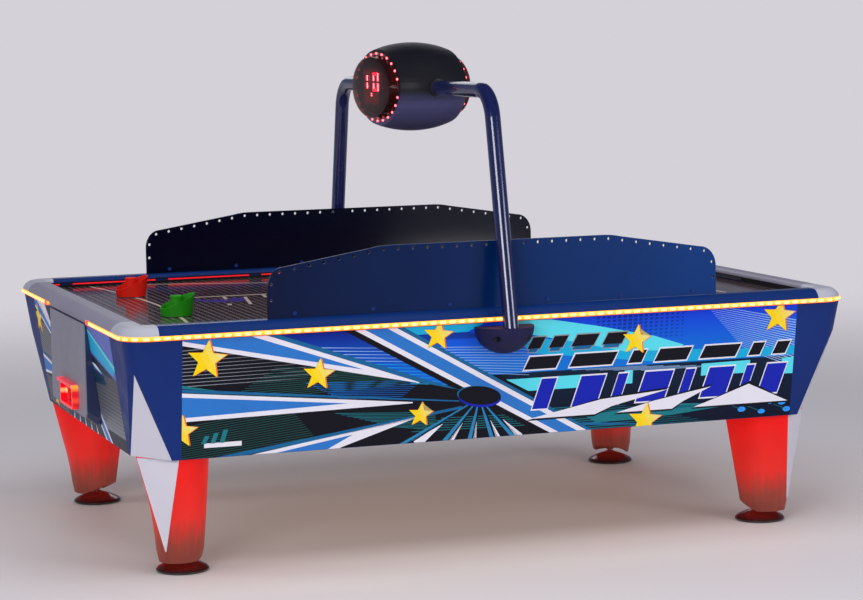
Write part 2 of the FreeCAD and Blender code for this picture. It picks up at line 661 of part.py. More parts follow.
def bowl(sy, inset):
    """Half ellipsoid that hangs on one side's face from the bracket's top, shrunk by inset."""
    height = BRACKET_Z1 - BRACKET_Z0
    whole = ellipsoid(BRACKET_HX - inset, BRACKET_D - inset, height - inset, V(0, sy * TOP_HY, BRACKET_Z1))
    far = TOP_HY + 300
    outline = [(BOT_HY, CAB_Z0), (TOP_HY, CAB_Z1), (far, CAB_Z1), (far, CAB_Z0)]
    beyond_face = prism([V(-200, sy * y, z) for y, z in outline], V(400, 0, 0))
    return whole.common(beyond_face.common(box(-200, 200, 0, sy * far, CAB_Z0, BRACKET_Z1 - inset)))


def bracket_bolt_face(sy):
    """How far out the bracket's skin lies where its bolts go in."""
    across, down = BRACKET_BOLT_X / BRACKET_HX, (BRACKET_Z1 - BRACKET_BOLT_Z) / (BRACKET_Z1 - BRACKET_Z0)
    return TOP_HY + BRACKET_D * math.sqrt(1 - across ** 2 - down ** 2)


def along_bolt(radius, sx, sy, start, stop):
    x, z = sx * BRACKET_BOLT_X, BRACKET_BOLT_Z
    return cyl(radius, V(x, sy * start, z), V(x, sy * stop, z))


def bracket(sy):
    """Hollow bowl-shaped housing that holds a post's foot against the cabinet's side."""
    axis_low, axis_high = arch_point(BRACKET_Z0 - 20, sy), arch_point(BRACKET_Z1 + 20, sy)
    face = bracket_bolt_face(sy)
    solid = [cyl(ARCH_R + 7, axis_low, axis_high)]
    solid += [along_bolt(15, sx, sy, TOP_HY - 40, face + 20) for sx in ENDS.values()]
    bore = cyl(ARCH_R, arch_point(POST_FOOT_Z, sy), axis_high)
    sinks = [along_bolt(10, sx, sy, face - BRACKET_BOLT_DEPTH, face + 30) for sx in ENDS.values()]
    shell = bowl(sy, 0).cut(bowl(sy, BRACKET_WALL).cut(group(solid)))
    return shell.cut(bore).cut(group(sinks))


def bracket_bolt(sx, sy):
    seat = bracket_bolt_face(sy) - BRACKET_BOLT_DEPTH
    return union(along_bolt(5, sx, sy, TOP_HY - 14, seat), along_bolt(9, sx, sy, seat, seat + 6))


def arch(side_panels):
    nodes = {}
    bolts = []
    for name, sy in SIDES.items():
        bore = arch_tube(sy, ARCH_R - ARCH_WALL)
        nodes["arch_tube_" + name] = arch_tube(sy, ARCH_R).cut(bore)
        fixing = [bracket_bolt(sx, sy) for sx in ENDS.values()]
        nodes["arch_bracket_" + name] = bracket(sy).cut(group(fixing))
        panel = "side_panel_" + name
        nodes[panel] = side_panels[panel].cut(group(fixing))
        bolts += fixing
    nodes["arch_bolts"] = group(bolts)
    reach = ARCH_END_Y + 90
    nodes["arch_crossbar"] = cyl(ARCH_R - ARCH_WALL, V(0, -reach, ARCH_Z), V(0, reach, ARCH_Z))
    return nodes


# ---------------------------------------------------------------- scoreboard
def oval_block(half_y, half_z, x0, x1):
    """Elliptical cylinder along X, centred on the crossbar's height."""
    centre = V(x0, 0, ARCH_Z)
    curve = Part.Ellipse(centre + V(0, half_y, 0), centre + V(0, 0, half_z), centre)
    return Part.Face(Part.Wire(curve.toShape())).extrude(V(x1 - x0, 0, 0))


def ellipsoid(half_x, half_y, half_z, centre):
    scale = FreeCAD.Matrix()
    scale.scale(half_x, half_y, half_z)
    solid = Part.makeSphere(1.0, V(0, 0, 0), V(1, 0, 0)).transformGeometry(scale)
    solid.translate(centre)
    return solid


def lens_solid(sx, inset):
    """Tapered oval drum with a shallow crown, on the rim of one end of the scoreboard."""
    rim, face = sx * PANEL_HX, sx * (PANEL_HX + LENS_DEPTH - inset / 3)
    wires = []
    for x, half_y, half_z in ((rim, DOME_Y - inset, DOME_Z - inset), (face, FACE_Y - inset, FACE_Z - inset)):
        centre = V(x, 0, ARCH_Z)
        wires.append(Part.Wire(Part.Ellipse(centre + V(0, half_y, 0), centre + V(0, 0, half_z), centre).toShape()))
    crown = ellipsoid(LENS_CROWN - inset * 2 / 3, FACE_Y - inset, FACE_Z - inset, V(face, 0, ARCH_Z))
    crown = crown.common(box(face, face + sx * 90, -400, 400, 1200, 1800))
    return Part.makeLoft(wires, True, True).fuse(crown)


def segments(digit, width, height, bar):
    """Lit bars of a seven-segment digit, as (y0, y1, z0, z1) about its centre."""
    half = height / 2
    bars = {"a": (-width / 2, width / 2, half - bar, half),
            "d": (-width / 2, width / 2, -half, -half + bar),
            "b": (width / 2 - bar, width / 2, bar / 2, half - bar - 1),
            "c": (width / 2 - bar, width / 2, -half + bar + 1, -bar / 2),
            "f": (-width / 2, -width / 2 + bar, bar / 2, half - bar - 1),
            "e": (-width / 2, -width / 2 + bar, -half + bar + 1, -bar / 2)}
    lit = {"1": "bc", "0": "abcdef"}[digit]
    return [bars[name] for name in lit]


# digit, offset to the reader's right, height above the middle, width, height and bar width
READOUT = [("1", -164.0, 17.0, 40.0, 64.0, 8.0), ("0", -52.0, 17.0, 56.0, 64.0, 8.0),
           ("1", -104.0, -28.0, 12.0, 19.0, 3.0)]


def scoreboard():
    nodes = {}
    bezels, rings, lenses, boards, digits, collars = [], [], [], [], [], []
    body = ellipsoid(PANEL_AX, PANEL_AY, PANEL_AZ, V(0, 0, ARCH_Z))
    wall = PANEL_WALL
    inside = ellipsoid(PANEL_AX - wall, PANEL_AY - wall, PANEL_AZ - wall, V(0, 0, ARCH_Z))
    tube = cyl(ARCH_R, V(0, -400, ARCH_Z), V(0, 400, ARCH_Z))
    outer_y, outer_z = DOME_Y + LIGHTS_W, DOME_Z + LIGHTS_W
    for name, sx in ENDS.items():
        rim, lip = sx * PANEL_HX, sx * (PANEL_HX - PANEL_LIP)
        hollow = inside.common(box(0, lip, -400, 400, 1200, 1800))
        window = oval_block(DOME_Y - 6, DOME_Z - 6, 0, rim * 2)
        shell = body.common(box(0, rim, -400, 400, 1200, 1800)).cut(hollow)
        nodes["scoreboard_shell_" + name] = shell.cut(window).cut(tube)

        bezel = oval_block(outer_y + 4, outer_z + 4, rim, rim + sx * 3)
        bezels.append(bezel.cut(oval_block(outer_y, outer_z, rim, rim + sx * 3)))
        ring = oval_block(outer_y, outer_z, rim, rim + sx * 4)
        rings.append(ring.cut(oval_block(DOME_Y, DOME_Z, rim, rim + sx * 4)))
        lenses.append(lens_solid(sx, 0).cut(lens_solid(sx, DOME_T)))
        boards.append(oval_block(DOME_Y - 1, DOME_Z - 1, lip - sx * 3, lip))
        for digit, right, up, width, height, bar in READOUT:
            for y0, y1, z0, z1 in segments(digit, width, height, bar):
                digits.append(box(lip, lip + sx * 3, sx * (right + y0), sx * (right + y1),
                                  ARCH_Z + up + z0, ARCH_Z + up + z1))
    for sy in SIDES.values():
        ring = cyl(ARCH_R + 5, V(0, sy * COLLAR_Y, ARCH_Z), V(0, sy * (PANEL_AY + 12), ARCH_Z))
        collars.append(ring.cut(tube).cut(body))
    nodes["scoreboard_bezels"] = group(bezels)
    nodes["scoreboard_light_rings"] = group(rings)
    nodes["scoreboard_lenses"] = group(lenses)
    nodes["display_boards"] = group(boards)
    nodes["score_digits"] = group(digits)
    nodes["scoreboard_collars"] = group(collars)
    return nodes


# ---------------------------------------------------------------- mallets and puck
def mallet(colour):
    """Mallet with a flared shield, low towards the player and high towards the field."""
    y = MALLET_YS[colour]
    base = FIELD_Z + REST_GAP + FELT_T
    flare, wall, high = 11.0, 4.0, 84.0
    at = V(MALLET_X, y, base)
    cup = Part.makeCone(MALLET_R, MALLET_R + flare, high, at, UP)
    inside = Part.makeCone(MALLET_R - wall, MALLET_R - wall + flare, high, at + V(0, 0, 9), UP)
    span = 90
    low_side, high_side = base + 25, base + 68
    slope = (high_side - low_side) / (2 * MALLET_R)
    cutter = prism([V(MALLET_X - span, y - span, low_side - (span - MALLET_R) * slope),
                    V(MALLET_X + span, y - span, high_side + (span - MALLET_R) * slope),
                    V(MALLET_X + span, y - span, base + 200),
                    V(MALLET_X - span, y - span, base + 200)], V(0, 2 * span, 0))
    cup = cup.cut(inside).cut(cutter)
    knob = [(0, 5), (22, 5), (20, 26), (20, 56), (21, 62), (19, 66), (0, 67)]
    face = Part.Face(polygon([V(MALLET_X + r, y, base + z) for r, z in knob]))
    grip = face.revolve(V(MALLET_X, y, 0), UP, 360)
    pad = cyl(MALLET_R - 3, V(MALLET_X, y, FIELD_Z + REST_GAP), V(MALLET_X, y, base))
    name = "mallet_" + colour
    return {name: union(cup, grip), name + "_felt": pad}


def puck():
    z = POCKET_Z0 + REST_GAP
    disc = cyl(PUCK_R, V(PUCK_X, PUCK_Y, z), V(PUCK_X, PUCK_Y, z + PUCK_T))
    rims = [e for e in disc.Edges if e.BoundBox.ZLength < 0.1]
    return disc.makeFillet(1.5, rims)


# ---------------------------------------------------------------- assembly
def build():
    cabinet_nodes, corner_plates, outer, cavity = cabinet()
    nodes = dict(cabinet_nodes)
    nodes.update(arch(cabinet_nodes))
    leg_nodes, leg_plates = legs()
    nodes.update(leg_nodes)
    nodes["white_corner_plates"] = group(corner_plates + leg_plates)
    nodes.update(rails())
    nodes.update(field(cavity))
    nodes["intake_grille"] = intake_grille()
    nodes.update(blower())
    nodes["control_box"] = control_box()
    nodes.update(consoles(outer, cavity))
    nodes.update(guards())
    nodes.update(scoreboard())
    for colour in MALLET_YS:
        nodes.update(mallet(colour))
    nodes["puck"] = puck()
    return nodes


os.makedirs("parts", exist_ok=True)
for node, shape in build().items():
    solids = len(shape.Solids)
    bounds = shape.BoundBox
    print(f"{node:26s} solids {solids:3d} valid {shape.isValid()} "
          f"volume {shape.Volume / 1e6:9.3f} l  z {bounds.ZMin:7.1f}..{bounds.ZMax:7.1f}")
    shape.exportStep(os.path.join("parts", node + ".step"))
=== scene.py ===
"""Looks of the air hockey table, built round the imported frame. Metres, +Z up."""

import bpy
import bmesh
import json
from math import cos, hypot, pi, radians, sin
from mathutils import Matrix, Vector

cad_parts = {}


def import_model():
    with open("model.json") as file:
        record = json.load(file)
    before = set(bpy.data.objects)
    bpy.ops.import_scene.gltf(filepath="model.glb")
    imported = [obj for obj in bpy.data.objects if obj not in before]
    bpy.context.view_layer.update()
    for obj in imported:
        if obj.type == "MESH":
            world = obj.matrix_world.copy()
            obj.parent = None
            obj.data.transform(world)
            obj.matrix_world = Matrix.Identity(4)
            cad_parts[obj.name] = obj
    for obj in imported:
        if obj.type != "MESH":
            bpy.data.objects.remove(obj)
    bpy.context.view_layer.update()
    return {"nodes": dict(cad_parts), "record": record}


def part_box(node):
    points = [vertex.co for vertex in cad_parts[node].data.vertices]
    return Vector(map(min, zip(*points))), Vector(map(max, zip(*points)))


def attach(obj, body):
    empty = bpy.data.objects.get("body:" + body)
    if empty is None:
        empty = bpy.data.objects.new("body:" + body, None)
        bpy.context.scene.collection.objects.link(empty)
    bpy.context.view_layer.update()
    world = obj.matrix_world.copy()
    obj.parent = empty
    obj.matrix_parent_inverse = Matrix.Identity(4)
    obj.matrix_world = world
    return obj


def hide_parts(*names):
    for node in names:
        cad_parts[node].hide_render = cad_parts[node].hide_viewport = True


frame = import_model()
NODES = frame["nodes"]
TABLE = "table"

# Sizes of the pieces made here, in metres.
FILM_STEP = 0.00012            # thickness of one layer of printed film on the cabinet
FIELD_FILM_STEP = 0.00005      # the same on the playing surface
STRIP_R = 0.092                # plan radius of the light strip at the table's corners
LAMP_PITCH = 0.0325            # distance between lamps in the light strip
LAMP_SIZE = (0.02, 0.003, 0.0085)
STRIP_END_SIZE = (0.008, 0.038, 0.015)
STRIP_END_Y = 0.352            # the light strip's ends, beside the consoles
CONSOLE_CLEAR_Y = 0.375        # lamps keep this far from the middle of an end
RING_LAMPS = 11                # lamps in each half of a scoreboard ring
RING_LAMP_R = 0.005
GUARD_HOLE_R = 0.0052
GUARD_HOLE_PITCH = 0.05
GUARD_HOLE_START = 0.066       # from the guard's foot to its first hole
GUARD_HOLE_INSET = 0.012
GUARD_EDGE_R = 0.0012
POCKET_X = 1.2245              # middle of a return pocket's mouth
POCKET_DEPTH = 0.052
AIR_HOLE_PITCH = 0.0254
RIB_PITCH = 0.018              # ribs of the scoreboard's shells
DARK_FACE_TOP = 0.8035           # the rails' dark inner face ends here
FLOOR_R = 26.0
FADE_START, FADE_END = 2.0, 8.0    # the floor thins out into the backdrop between these


# ---------- materials
def srgb(red, green, blue):
    """Linear colour from 8-bit sRGB values."""
    linear = []
    for value in (red / 255, green / 255, blue / 255):
        linear.append(value / 12.92 if value <= 0.04045 else ((value + 0.055) / 1.055) ** 2.4)
    return tuple(linear)


def set_ramp(node, stops):
    """Give a colour ramp its stops and hand back its colour."""
    band = node.color_ramp
    while len(band.elements) < len(stops):
        band.elements.new(0.5)
    for element, (place, color) in zip(band.elements, stops):
        element.position = place
        element.color = (*color[:3], 1)
    return node.outputs[0]


class Shader:
    """A Principled material put together from short calls."""

    def __init__(self, name, color=None, rough=0.4, metal=0.0, coat=0.0, coat_rough=0.05, specular=0.5):
        self.mat = bpy.data.materials.new(name)
        self.mat.use_nodes = True
        self.tree = self.mat.node_tree
        self.bsdf = self.tree.nodes["Principled BSDF"]
        self.point = self.add("ShaderNodeTexCoord").outputs["Object"]
        self.put("Roughness", rough)
        self.put("Metallic", metal)
        self.put("Coat Weight", coat)
        self.put("Coat Roughness", coat_rough)
        self.put("Specular IOR Level", specular)
        if color is not None:
            self.put("Base Color", color)
            self.mat.diffuse_color = (*color[:3], 1)

    def put(self, socket, value, node=None):
        """Set one input of a node, or link it."""
        target = (node or self.bsdf).inputs[socket]
        if isinstance(value, bpy.types.NodeSocket):
            self.tree.links.new(value, target)
        elif target.type == "RGBA" and len(value) == 3:
            target.default_value = (*value, 1)
        else:
            target.default_value = value

    def add(self, kind, inputs=None, **settings):
        node = self.tree.nodes.new(kind)
        for key, value in settings.items():
            setattr(node, key, value)
        for key, value in (inputs or {}).items():
            self.put(key, value, node)
        return node

    def noise(self, scale, detail=3.0, stretch=None):
        place = self.point
        if stretch:
            place = self.add("ShaderNodeMapping", {"Vector": place, "Scale": stretch}).outputs[0]
        node = self.add("ShaderNodeTexNoise", {"Vector": place, "Scale": scale, "Detail": detail})
        return node.outputs["Fac"]

    def axis(self, name):
        return self.add("ShaderNodeSeparateXYZ", {"Vector": self.point}).outputs[name]

    def math(self, operation, first, second=0.0):
        node = self.add("ShaderNodeMath", operation=operation)
        self.put(0, first, node)
        self.put(1, second, node)
        return node.outputs[0]

    def times(self, first, second):
        return self.math("MULTIPLY", first, second)

    def distance(self, *pairs):
        """Distance in a plane, from two pairs of a value and its centre."""
        squares = [self.math("POWER", self.math("SUBTRACT", value, at), 2.0) for value, at in pairs]
        return self.math("SQRT", self.math("ADD", *squares))

    def mix(self, factor, first, second):
        node = self.add("ShaderNodeMix", data_type="RGBA")
        self.put(0, factor, node)
        self.put(6, first, node)
        self.put(7, second, node)
        return node.outputs[2]

    def span(self, value, low, high, out_low=0.0, out_high=1.0):
        """A value taken from one range to another, and held at its ends."""
        inputs = {"Value": value, "From Min": low, "From Max": high,
                  "To Min": out_low, "To Max": out_high}
        return self.add("ShaderNodeMapRange", inputs).outputs[0]

    def ramp(self, value, stops):
        return set_ramp(self.add("ShaderNodeValToRGB", {"Fac": value}), stops)

    def bump(self, height, strength, distance=0.001):
        inputs = {"Height": height, "Strength": strength, "Distance": distance}
        self.put("Normal", self.add("ShaderNodeBump", inputs).outputs[0])

    def glow(self, color, strength):
        self.put("Emission Color", color)
        self.bsdf.inputs["Emission Strength"].default_value = strength


def shade(color, factor):
    return tuple(min(1.0, c * factor) for c in color[:3])


def finish(name, color, rough=0.4, vary=0.08, grain=220.0, relief=0.08, **more):
    """A moulded or painted finish: slow drift of an 8-bit colour, uneven gloss, fine orange peel."""
    color = srgb(*color)
    s = Shader(name, None, rough, **more)
    drift = s.noise(3.5, 4.0)
    s.put("Base Color", s.mix(s.span(drift, 0.3, 0.7), shade(color, 1 - vary), shade(color, 1 + vary)))
    smear = s.noise(14.0, 5.0)
    s.put("Roughness", s.span(smear, 0.3, 0.7, rough * 0.85, rough * 1.2))
    s.bump(s.noise(grain, 2.0), relief, 0.0006)
    s.mat.diffuse_color = (*color[:3], 1)
    return s.mat


def ink(name, color, second=None, low=0.385, high=0.775, rough=0.34):
    """Printed vinyl: one 8-bit colour, or a blend of two up the panel, with a fine print screen."""
    s = Shader("ink_" + name, None, rough, specular=0.12)
    color = srgb(*color)
    if second is None:
        base = s.mix(s.noise(9.0, 3.0), shade(color, 0.93), shade(color, 1.07))
    else:
        base = s.mix(s.span(s.axis("Z"), low, high), color, srgb(*second))
    screen = s.noise(900.0, 1.0)
    s.put("Base Color", s.mix(s.span(screen, 0.35, 0.65, 0.0, 0.12), base, shade(color, 0.7)))
    s.bump(s.noise(60.0, 2.0), 0.03, 0.0004)
    return s.mat


def lamp(name, core, edge, strength):
    """Lit plastic, cloudy between two colours."""
    s = Shader(name, edge, 0.3)
    s.glow(s.mix(s.noise(60.0, 2.0), edge, core), strength)
    return s.mat


# ---------- mesh helpers
def new_object(name, data):
    """New object, linked to the scene."""
    obj = bpy.data.objects.new(name, data)
    bpy.context.scene.collection.objects.link(obj)
    return obj


def mesh_from(bm, name):
    """Mesh made of a bmesh, which is freed."""
    bmesh.ops.recalc_face_normals(bm, faces=bm.faces)
    mesh = bpy.data.meshes.new(name)
    bm.to_mesh(mesh)
    bm.free()
    return mesh


def piece(name, mesh, materials, smooth=False, body=TABLE):
    """Link a mesh as a piece that rides on a body."""
    obj = new_object(name, mesh)
    for mat in materials:
        mesh.materials.append(mat)
    if smooth:
        mesh.polygons.foreach_set("use_smooth", [True] * len(mesh.polygons))
    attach(obj, body)
    return obj


def soften(obj, width):
    """Round the sharp edges, as a mould or a brush would."""
    mod = obj.modifiers.new("edges", "BEVEL")
    mod.width = width
    mod.segments = 2
    mod.limit_method = "ANGLE"
    mod.angle_limit = radians(35.0)
    mod.harden_normals = False


def half_plane(points, limit, direction):
    """The part of a polygon that lies beyond a limit along a direction."""
    reach = [p[0] * direction[0] + p[1] * direction[1] - limit for p in points]
    kept = []
    for k, here in enumerate(points):
        before, r0, r1 = points[k - 1], reach[k - 1], reach[k]
        if (r0 >= 0) != (r1 >= 0):
            share = r0 / (r0 - r1)
            kept.append(tuple(b + (h - b) * share for b, h in zip(before, here)))
        if r1 >= 0:
            kept.append(here)
    return kept


def clip(points, low, high):
    """Cut a convex or simple polygon to an upright rectangle."""
    for limit, direction in ((low[0], (1, 0)), (-high[0], (-1, 0)), (low[1], (0, 1)), (-high[1], (0, -1))):
        points = half_plane(points, limit, direction)
    return points


class Print:
    """Flat shapes in layers on a panel. Each shape is a thin closed film."""

    def __init__(self, place, low, high, step=FILM_STEP):
        self.place, self.low, self.high, self.step = place, low, high, step
        self.bm = bmesh.new()
        self.inks = []
        self.layer = 1

    def shape(self, ink_mat, points):
        points = clip([tuple(p) for p in points], self.low, self.high)
        if len(points) < 3:
            return
        if ink_mat not in self.inks:
            self.inks.append(ink_mat)
        index = self.inks.index(ink_mat)
        top = [self.bm.verts.new(self.place(u, v, self.step * (self.layer + 1))) for u, v in points]
        low = [self.bm.verts.new(self.place(u, v, self.step)) for u, v in points]
        faces = [self.bm.faces.new(top), self.bm.faces.new(low[::-1])]
        for k in range(len(points)):
            faces.append(self.bm.faces.new((low[k - 1], low[k], top[k], top[k - 1])))
        for face in faces:
            face.material_index = index

    def shapes(self, *rows):
        """Several shapes, each a row of its ink and its corners."""
        for ink_mat, *points in rows:
            self.shape(ink_mat, points)

    def stroke(self, ink_mat, start, end, width, end_width=None):
        """Straight line that may taper."""
        end_width = width if end_width is None else end_width
        (u0, v0), (u1, v1) = start, end
        length = hypot(u1 - u0, v1 - v0)
        nu, nv = -(v1 - v0) / length / 2, (u1 - u0) / length / 2
        self.shape(ink_mat, [(u0 + nu * width, v0 + nv * width),
                             (u1 + nu * end_width, v1 + nv * end_width),
                             (u1 - nu * end_width, v1 - nv * end_width),
                             (u0 - nu * width, v0 - nv * width)])

    def hatch(self, ink_mat, count, start, step, end, end_step, *widths):
        """Straight lines, each end of which moves on by a step from line to line."""
        for k in range(count):
            ends = [(u + du * k, v + dv * k) for (u, v), (du, dv) in ((start, step), (end, end_step))]
            self.stroke(ink_mat, *ends, *widths)

    def done(self, name):
        bmesh.ops.triangulate(self.bm, faces=[f for f in self.bm.faces if len(f.verts) > 4])
        piece(name, mesh_from(self.bm, name), self.inks)


def on_panel(node, axis, sign):
    """A panel's bottom, and what places points of its print on its outer face."""
    points = [v.co for v in NODES[node].data.vertices]
    z0, z1 = min(p.z for p in points), max(p.z for p in points)
    half0 = max(abs(p[axis]) for p in points if p.z < z0 + 1e-4)
    half1 = max(abs(p[axis]) for p in points if p.z > z1 - 1e-4)
    slope = (half1 - half0) / (z1 - z0)
    out = Vector((0, 1, -slope)).normalized()

    def place(u, v, lift):
        away, z = sign * (half0 + slope * (v - z0) + out.y * lift), v + out.z * lift
        return (-sign * u, away, z) if axis == 1 else (away, sign * u, z)

    return z0, place


# ---------- artwork
BLACK = ink("black", (17, 17, 27))
WHITE = ink("white", (226, 224, 236))
RAY = ink("ray_blue", (46, 116, 196))
EDGE = ink("edge_blue", (26, 98, 148))
SPOKE = ink("spoke_blue", (44, 130, 180))
DEEP = ink("deep_blue", (20, 100, 215), (8, 22, 128), low=0.6, high=0.77)
ROYAL = ink("royal", (14, 112, 208), (18, 56, 218), low=0.62, high=0.77)
CYAN = ink("cyan", (24, 168, 216))
TURQUOISE = ink("turquoise", (88, 216, 232))
TEAL_LINE = ink("teal_line", (30, 118, 130))
GREEN_LINE = ink("green_line", (34, 92, 86))
GREY_LINE = ink("grey_line", (140, 146, 156))
PALE_LINE = ink("pale_line", (150, 186, 236))
NIGHT = ink("night", (10, 18, 40), (14, 40, 66))
BLOCK = ink("block_blue", (22, 36, 172))
YELLOW = [ink(f"yellow_{k}", color) for k, color in
          enumerate([(252, 212, 16), (248, 214, 50), (242, 218, 92), (236, 220, 136)])]
ORANGE = ink("orange", (240, 120, 40))
GLOW_DOT = ink("glow_dot", (50, 150, 245))
MIST = ink("mist", (120, 124, 134), (70, 72, 80), low=0.45, high=0.6)
MAUVE = ink("mauve", (92, 108, 190))


def star(art, u, v, radius):
    """Five-pointed star that pales across, with an orange edge to one side."""
    radius *= 1.1

    def points(shift):
        ring = []
        for k in range(10):
            reach = radius if k % 2 == 0 else radius * 0.43
            angle = radians(84 + 36 * k)
            ring.append((u + shift + reach * cos(angle), v + reach * sin(angle)))
        return ring

    art.layer += 1
    art.shape(ORANGE, points(0.0045))
    across = (0.88, 0.47)
    middle = u * across[0] + v * across[1]
    for k, shade_ink in enumerate(YELLOW):
        art.layer += 1
        ring = points(0.0)
        if k:
            ring = half_plane(ring, middle + radius * (0.35 * k - 0.55), across)
        art.shape(shade_ink, ring)
    art.layer -= 5


def bordered(art, outline, fill, border, inset=0.006):
    """Block with a line of even width round it, for a convex outline listed clockwise or not."""
    cu = sum(p[0] for p in outline) / len(outline)
    cv = sum(p[1] for p in outline) / len(outline)
    half_u = max(abs(p[0] - cu) for p in outline)
    half_v = max(abs(p[1] - cv) for p in outline)
    art.layer += 1
    art.shape(border, outline)
    art.layer += 1
    inner = [(cu + (u - cu) * (1 - inset / half_u), cv + (v - cv) * (1 - inset / half_v)) for u, v in outline]
    art.shape(fill, inner)
    art.layer -= 2


def slanted(u0, u1, v0, v1, lean):
    return [(u0, v0), (u1, v0), (u1 + lean, v1), (u0 + lean, v1)]


def side_art(name, sy):
    """Artwork of one long side: rays, stripe fields and stars round a dark puck."""
    z0, place = on_panel("side_panel_front", 1, sy)
    left, right, top, bottom = -1.063, 1.063, 0.7705, z0 + 0.001
    art = Print(place, (left, bottom), (right, top))
    hub = (-0.07, 0.52)

    art.shape(BLACK, [(left, bottom), (right, bottom), (right, top), (left, top)])
    art.layer = 2
    art.shapes(
        (DEEP, (-0.79, 0.772), (-0.5, 0.772), (-0.12, 0.56), (-0.28, 0.586)),
        (ROYAL, (-0.36, 0.772), (1.07, 0.772), (1.07, 0.595), (-0.05, 0.595)),
        (NIGHT, (0.0, 0.595), (1.07, 0.595), (1.07, 0.385), (0.3, 0.385)))
    art.layer = 3
    for row in (
            (GREY_LINE, 11, (left, 0.622), (0, 0.0115), (-0.56, 0.626), (-0.034, 0.0115), 0.0022, 0.0006),
            (GREEN_LINE, 14, (-0.92, 0.566), (0.012, 0.0075), (-0.32, 0.584), (-0.012, 0.0051), 0.0016),
            (ROYAL, 10, (-0.66, 0.608), (0.012, -0.0062), (-0.27, 0.592), (-0.008, -0.0062), 0.002, 0.001),
            (PALE_LINE, 5, (-0.64, 0.722), (0.03, -0.0125), (-0.42, 0.708), (0.024, -0.0125), 0.0026, 0.001),
            (CYAN, 7, (-0.49, 0.6595), (0.03, -0.0125), (-0.3, 0.6455), (0.024, -0.0125), 0.0026, 0.001),
            (PALE_LINE, 11, (-0.25, 0.7), (0.018, -0.0095), (0.1, 0.682), (0, -0.0095), 0.002, 0.0012),
            (PALE_LINE, 20, (0.72, 0.79), (0.008, -0.0085), (1.07, 0.715), (0, -0.0085), 0.001, 0.0034)):
        art.hatch(*row)
    for row in range(7):
        for col in range(17):
            u, v = 0.335 + 0.019 * col, 0.764 - 0.0125 * row
            size = 0.0066 * (1 - 0.045 * abs(col - 6))
            art.shape(DEEP, slanted(u - size, u + size, v - size * 0.7, v + size * 0.7, 0.002))
    for row in (
            (GREEN_LINE, 16, (left, 0.382), (0, 0.0072), (-0.62, 0.422), (-0.006, 0.0072), 0.0016),
            (TEAL_LINE, 11, (-0.56, 0.502), (0.02, -0.0058), (-0.22, 0.482), (0, -0.0058), 0.0018),
            (TEAL_LINE, 6, (-0.2, 0.462), (-0.02, -0.0078), (0.06, 0.456), (0.02, -0.0078), 0.002),
            (TEAL_LINE, 12, (0.18, 0.468), (0.01, -0.0072), (0.42, 0.468), (0.03, -0.0072), 0.003, 0.001),
            (PALE_LINE, 6, (0.25, 0.594), (0.05, -0.0034), (0.52, 0.592), (0.06, -0.0034), 0.0012)):
        art.hatch(*row)

    art.layer = 4
    art.shape(CYAN, [(-0.36, 0.772), (-0.06, 0.772), (-0.12, 0.744), (-0.33, 0.744)])
    art.shape(DEEP, [(-0.32, 0.744), (-0.12, 0.744), (-0.05, 0.722), (-0.28, 0.722)])
    art.shape(TURQUOISE, [(0.03, 0.772), (0.165, 0.769), (0.333, 0.738), (0.542, 0.692), (0.65, 0.656),
                          (0.62, 0.64), (0.44, 0.645), (0.25, 0.69), (0.1, 0.722)])
    art.layer = 5
    art.shape(CYAN, [(0.05, 0.722), (0.25, 0.69), (0.44, 0.645), (0.65, 0.64), (0.9, 0.628), (1.07, 0.63),
                     (1.07, 0.6), (0.6, 0.598), (0.1, 0.66)])
    art.shapes(
        (TURQUOISE, (0.02, 0.576), (0.3, 0.576), (0.3, 0.533), (0.1, 0.533)),
        (TURQUOISE, (0.44, 0.58), (0.47, 0.58), (0.47, 0.535), (0.44, 0.535)),
        (TURQUOISE, (0.72, 0.586), (0.9, 0.588), (0.9, 0.545), (0.72, 0.545)),
        (TURQUOISE, (1.02, 0.588), (1.07, 0.59), (1.07, 0.532), (1.02, 0.533)),
        (TEAL_LINE, (0.3, 0.437), (0.6, 0.457), (0.88, 0.44), (0.62, 0.416), (0.35, 0.408)),
        (CYAN, (0.42, 0.443), (0.6, 0.45), (0.8, 0.44), (0.6, 0.436)))
    art.stroke(EDGE, (0.3, 0.408), (0.58, 0.388), 0.01, 0.002)

    art.layer = 6
    # middle-left ray
    art.shapes(
        (EDGE, (left, 0.614), (left, 0.603), (-0.14, 0.513), (-0.14, 0.517)),
        (WHITE, (left, 0.601), (-0.3, 0.5225), (-0.3, 0.5185), (left, 0.508)),
        (TEAL_LINE, (left, 0.626), (-0.95, 0.602), (left, 0.616)))
    # top-left ray
    art.shapes(
        (EDGE, (-0.795, 0.772), (-0.757, 0.772), (-0.13, 0.55), (-0.28, 0.587)),
        (WHITE, (left, 0.753), (left, 0.772), (-0.795, 0.772), (-0.28, 0.587), (-0.28, 0.584)),
        (BLACK, (-0.54, 0.772), (-0.505, 0.772), (0.185, 0.385), (0.15, 0.385)),
        (EDGE, (-0.365, 0.772), (-0.34, 0.772), (0.335, 0.385), (0.315, 0.385)),
        (WHITE, (-0.505, 0.772), (-0.365, 0.772), (0.315, 0.385), (0.185, 0.385)))
